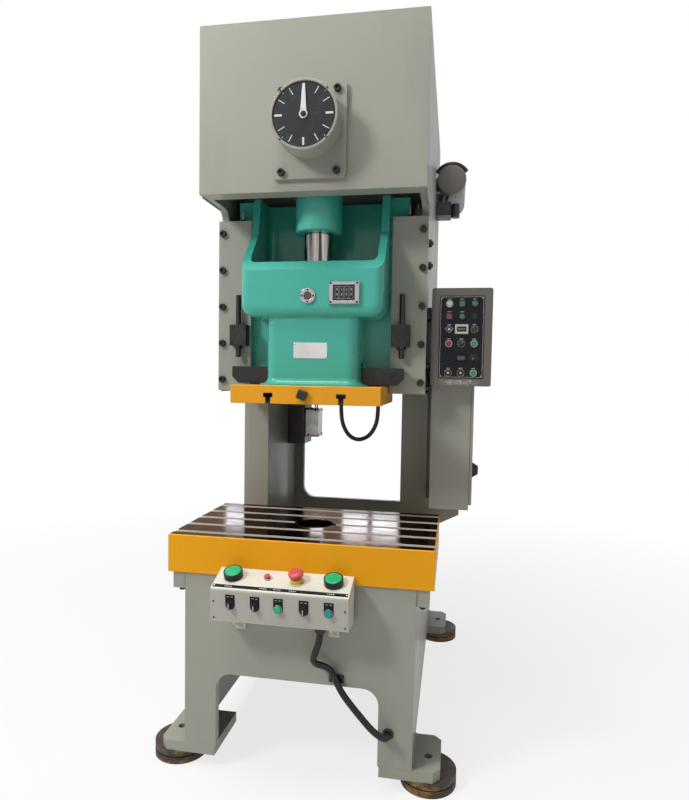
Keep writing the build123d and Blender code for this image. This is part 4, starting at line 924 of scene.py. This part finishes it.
panel_centre = to_front(481, panel_face_front + 3, 1402.5)
sheet = shaped(prism, [panel_centre], rectangle(73.7, 137.2, 1), 0, 3)
panel_sheet = finish_piece("panel_sheet", sheet, "black_plastic", finish=panel_print, bevel=0.0003)
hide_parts("panel_face")
border = shaped(ring_plate, [panel_centre], rectangle(70.5, 134, 2), rectangle(69.6, 133.1, 1.6), 3, 3.2)
finish_piece("panel_border", border, "dial_white")


def cell(row, column, turn=0):
    return spun(to_front(panel_columns[column], panel_face_front, panel_rows[row]), turn)


def cells(*addresses):
    return [cell(*address) for address in addresses]


def device_ring(mesh, local, radius):
    lathe(mesh, local, [(radius + 2.6, 0), (radius + 2.6, 1.8), (radius + 1.6, 2.6), (radius + 0.3, 2.6),
                        (radius + 0.3, 0.6), (0, 0.6)], 32)


def domed_cap(mesh, local, radius, height):
    lathe(mesh, local, [(radius, 0.6), (radius, height - 1.4), (radius - 1, height - 0.4),
                        (radius * 0.6, height), (0, height + 0.2)], 32)


silver_rings = shaped(device_ring, cells((0, 0), (3, 0), (3, 2), (5, 2)), 9.4)
for local in cells((2, 2), (3, 1), (5, 0), (5, 1)):
    lathe(silver_rings, local, [(11.2, 0.4), (11.2, 3), (12.2, 3), (12.2, 0.4)], 36)
finish_piece("panel_silver_rings", silver_rings, "device_metal")
dark_cells = cells((0, 2), (1, 1), (1, 2), (2, 2), (3, 1), (4, 2), (5, 0), (5, 1))
finish_piece("panel_dark_rings", shaped(device_ring, dark_cells, 8.4), "black_plastic")
for name, spots, height, finish, slot_name in (
        ("panel_lamp_white", cells((0, 0)), 7.4, lamp_white, "dial_white"),
        ("panel_lamps_green", cells((0, 2), (1, 1)), 7.4, lamp_green, "green_plastic"),
        ("panel_buttons_green", cells((3, 2), (5, 2)), 7.4, deep_green, "green_plastic"),
        ("panel_button_red", cells((3, 0)), 7.4, deep_red, "red_plastic"),
        ("panel_blank", cells((1, 2)), 2.2, None, "black_plastic")):
    finish_piece(name, shaped(domed_cap, spots, 9, height), slot_name, finish=finish)
for name, spots, finish, slot_name in (("panel_square_green", cells((0, 1)), lamp_green, "green_plastic"),
                                       ("panel_square_red", cells((1, 0)), lamp_red, "red_plastic")):
    finish_piece(name, shaped(prism, spots, rectangle(8.6, 8.6, 1.5), 1, 6.4), slot_name, finish=finish, bevel=0.0006)
    rim = shaped(ring_plate, spots, rectangle(11, 11, 2), rectangle(8.8, 8.8, 1.6), 0, 3)
    finish_piece(name + "_rim", rim, "black_plastic")
knobs = bmesh.new()
for local in cells((2, 2, 40), (3, 1, -40)):
    lathe(knobs, local, [(9, 0.6), (9, 4.4), (8.2, 5), (0, 5)], 32)
    prism(knobs, local, rectangle(2.6, 8.6, 1.2), 5, 10)
lathe(knobs, cell(4, 2), [(9, 0.6), (8.4, 7), (7.6, 9), (6, 9.6), (0, 9.6)], 24)
finish_piece("panel_knobs", knobs, "black_plastic", bevel=0.0004)
knob_marks = bmesh.new()
for where, reach, height in (((2, 2, 40), 8, 10), ((3, 1, -40), 8, 10), ((4, 2, 130), 6.5, 9.6)):
    prism(knob_marks, cell(*where), [(-0.6, 1), (0.6, 1), (0.6, reach), (-0.6, reach)], height, height + 0.3)
for step in range(11):
    prism(knob_marks, moved(cell(4, 2, -135 + 27 * step), 0, 13.8), rectangle(0.35, 1), 0, 0.3)
for row, columns in enumerate(((0, 1, 2), (0, 1), (0, 2), (0, 1, 2), (), (0, 1, 2))):
    for column in columns:
        prism(knob_marks, moved(cell(row, column), 0, 15.6), rectangle(6.5, 0.7), 0, 0.25)
finish_piece("panel_marks", knob_marks, "dial_white")
local = cell(2, 0, 45)
lock_cells = cells((5, 0), (5, 1))
barrels = shaped(prism, [local], rectangle(9, 9, 1.4), 0, 3.2)
for spot in lock_cells:
    lathe(barrels, spot, [(8, 0.6), (8, 4.6), (7, 5.4), (0, 5.4)], 28)
finish_piece("panel_locks", barrels, "black_plastic", bevel=0.0003)
locks = shaped(ring_plate, [local], rectangle(9.9, 9.9, 1.4), rectangle(9, 9, 1.2), 0, 3.4)
lathe(locks, local, [(4.4, 3.2), (4.4, 4.6), (3.8, 5.2), (0, 5.2)], 24)
for spot in lock_cells:
    lathe(locks, spot, [(4, 5.4), (4, 6.4), (3.4, 7), (0, 7)], 24)
finish_piece("panel_lock_cylinders", locks, "device_metal")
counter = cells((2, 1))
counter_frame = shaped(ring_plate, counter, rectangle(22, 16, 2), rectangle(15.5, 8.6, 0.8), 0, 6)
finish_piece("counter_frame", counter_frame, "dial_white", finish=white_plastic, bevel=0.0004)
finish_piece("counter_window", shaped(prism, counter, rectangle(15.4, 8.5, 0.8), 0, 3.2), "dial_black")
lettering("counter_digits", "004712", 7.6, moved(counter[0], 0, 0, 3.3))
display = shaped(prism, cells((4, 1)), rectangle(16, 10, 1.2), 0, 4)
finish_piece("panel_display", display, "black_plastic", finish=panel_print, bevel=0.0004)
display_window = shaped(prism, cells((4, 1)), rectangle(12.5, 6.5, 0.6), 4, 4.3)
finish_piece("panel_display_window", display_window, "black_plastic", finish=display_glass)
finish_piece("panel_screws", shaped(socket_head, corners(panel_centre, 66, 129.5, 3), 2.2, 1.2, 1.1), "device_metal")

# Oil pump: screws on its head, filler cap and sight glass

pump_details = bmesh.new()
for y in (645, 715):
    for height in (1000, 1110):
        socket_head(pump_details, to_right(-136, y, height), 4.2, 3.6, 2.1)
        socket_head(pump_details, to_front(-164 + (height - 1055) * 0.28, 635, height), 3.6, 3, 1.9)
lathe(pump_details, turned(-262, 700, 1181, 0), [(0, 0), (17, 0), (17, 4), (21, 5), (21, 15), (19, 18), (0, 18)],
      32)
finish_piece("oil_pump_screws", pump_details, "black_steel")
sight = shaped(lathe, [to_front(-306, 615, 1040)], [(0, 0), (11, 0), (11, 3), (9.6, 4), (0, 4)], 28)
finish_piece("oil_tank_sight", sight, "black_plastic", finish=oil_glass)
curve_piece("pump_oil_lines", [
    [(-164, 700, 1120), (-164, 705, 1160), (-180, 760, 1230), (-300, 790, 1300), (-336, 800, 1420)],
    [(-150, 680, 1120), (-150, 690, 1150), (-170, 770, 1240), (-290, 820, 1330), (-336, 830, 1440)]],
    3, "bronze", finish=copper_line)

# Air receiver: hose over its front end, its domed cover's rim and the valve's fittings

receiver_x = 429
receiver_height = 2095
over = []
for turn in range(150, 25, -20):
    across, rise = on_circle(68, turn)
    over.append((receiver_x + across, 622, receiver_height + rise))
curve_piece("receiver_hose", [over], 12, "hose_rubber", order=4)
end_cover = shaped(lathe, [to_front(receiver_x, 606, receiver_height)],
                   [(60, -8), (60, 0), (57, 3.6), (50, 5.4), (0, 6)], 64)
finish_piece("receiver_end", end_cover, "grey_paint", finish=receiver_paint)
fittings = shaped(hex_head, [turned(x, valve_y, valve_top, 0) for x in (385, 409)], 9, 8)
finish_piece("air_fittings", fittings, "black_steel")
curve_piece("valve_pipes", [
    [(385, valve_y, 2008), (385, valve_y, 2020), (386, 652, 2032), (392, 656, 2042)],
    [(409, valve_y, 2008), (409, valve_y, 2018), (410, 652, 2028), (414, 656, 2040)]],
    5, "black_steel")

# Belt guard: screws round its rim

guard_back = 1275
guard_screw_circle = 300
guard_spots = [to_back(x, guard_back, 1452) for x in (-96, 96)]
for turn in (22.5, 67.5, 112.5, 157.5, 202.5, 247.5, 337.5):
    across, rise = on_circle(guard_screw_circle, turn)
    guard_spots.append(to_back(across, guard_back, crank_height + rise))
finish_piece("guard_screws", shaped(hex_head, guard_spots, 7, 5), "black_steel")

# Floor and light

floor_mesh = bpy.data.meshes.new("floor")
floor_mesh.from_pydata([(-20, -12, 0), (20, -12, 0), (20, 30, 0), (-20, 30, 0)], [], [(0, 1, 2, 3)])
floor = bpy.data.objects.new("floor", floor_mesh)
scene.collection.objects.link(floor)
ground = Surface("floor_finish")
ground_tone = ground.blend(ground.noise(3, 5), (0.86, 0.86, 0.855, 1), (0.90, 0.90, 0.895, 1))
ground_rough = ground.sheen(8, 4, 0.75, 0.9)
floor_mesh.materials.append(ground.finish(ground_tone, ground_rough, ground.relief(ground.noise(40, 3), 0.05)))
glow = ground.node("ShaderNodeEmission", Color=(1, 1, 1, 1))
seen_floor = ground.node("ShaderNodeMixShader")
rays = ground.node("ShaderNodeLightPath").outputs
distance = ground.node("ShaderNodeVectorMath")
distance.operation = "LENGTH"
ground.link(ground.coordinates, distance.inputs[0])
paleness = ground.between(distance.outputs["Value"], 0.8, 3.6, 0.77, 1.0)
seen_rays = ground.maths("ADD", rays["Is Camera Ray"], rays["Is Glossy Ray"])
seen_rays = ground.maths("ADD", seen_rays, rays["Is Transmission Ray"])
ground.link(ground.times(seen_rays, paleness), seen_floor.inputs["Fac"])
ground.link(ground.shader.outputs["BSDF"], seen_floor.inputs[1])
ground.link(glow.outputs["Emission"], seen_floor.inputs[2])
ground.link(seen_floor.outputs["Shader"], ground.output.inputs["Surface"])

world = bpy.data.worlds.new("world")
scene.world = world
world.use_nodes = True
sky = world.node_tree
sky.nodes.clear()
sky_output = add_node(sky, "ShaderNodeOutputWorld")
rays = add_node(sky, "ShaderNodeLightPath").outputs
share = rays["Is Camera Ray"]
for kind in ("Is Glossy Ray", "Is Transmission Ray"):
    total = add_node(sky, "ShaderNodeMath")
    total.operation = "ADD"
    total.use_clamp = True
    sky.links.new(share, total.inputs[0])
    sky.links.new(rays[kind], total.inputs[1])
    share = total.outputs[0]
choice = add_node(sky, "ShaderNodeMixShader")
sky.links.new(share, choice.inputs["Fac"])
# What lights the press, and the white that is seen and mirrored
for number, tone, strength in ((1, (0.97, 0.98, 1.0, 1), 0.20), (2, (1, 1, 1, 1), 1.0)):
    glow = add_node(sky, "ShaderNodeBackground", Color=tone, Strength=strength)
    sky.links.new(glow.outputs[0], choice.inputs[number])
sky.links.new(choice.outputs[0], sky_output.inputs["Surface"])


def area_lamp(name, where, aim, size, power, tone):
    data = bpy.data.lights.new(name, "AREA")
    data.energy = power
    data.size = size
    data.color = tone
    lamp = bpy.data.objects.new(name, data)
    scene.collection.objects.link(lamp)
    lamp.location = where
    lamp.rotation_euler = (Vector(aim) - lamp.location).to_track_quat("-Z", "Y").to_euler()
    return lamp


area_lamp("key", (-3.0, -3.3, 4.3), (0, -0.4, 1.2), 1.0, 142, (1, 0.99, 0.97))
area_lamp("top", (-0.5, -1.1, 4.9), (0, -0.3, 1.0), 1.8, 105, (1, 1, 1))
area_lamp("fill", (3.2, -2.2, 3.4), (0, -0.2, 1.6), 2.0, 3, (0.97, 0.98, 1))

# Small far lamps that the oiled table mirrors, as it would a row of windows
for number, (x, height, width) in enumerate(((-1.32, 1.45, 0.15), (-0.62, 1.53, 0.10), (-0.30, 1.47, 0.20),
                                             (-0.06, 1.46, 0.20))):
    window_lamp = area_lamp(f"window_{number}", (x, 2.4, height), (x * 0.5, -0.4, 0.76), width, 62 * width ** 2,
                            (0.42, 0.62, 1))
    window_lamp.visible_camera = False
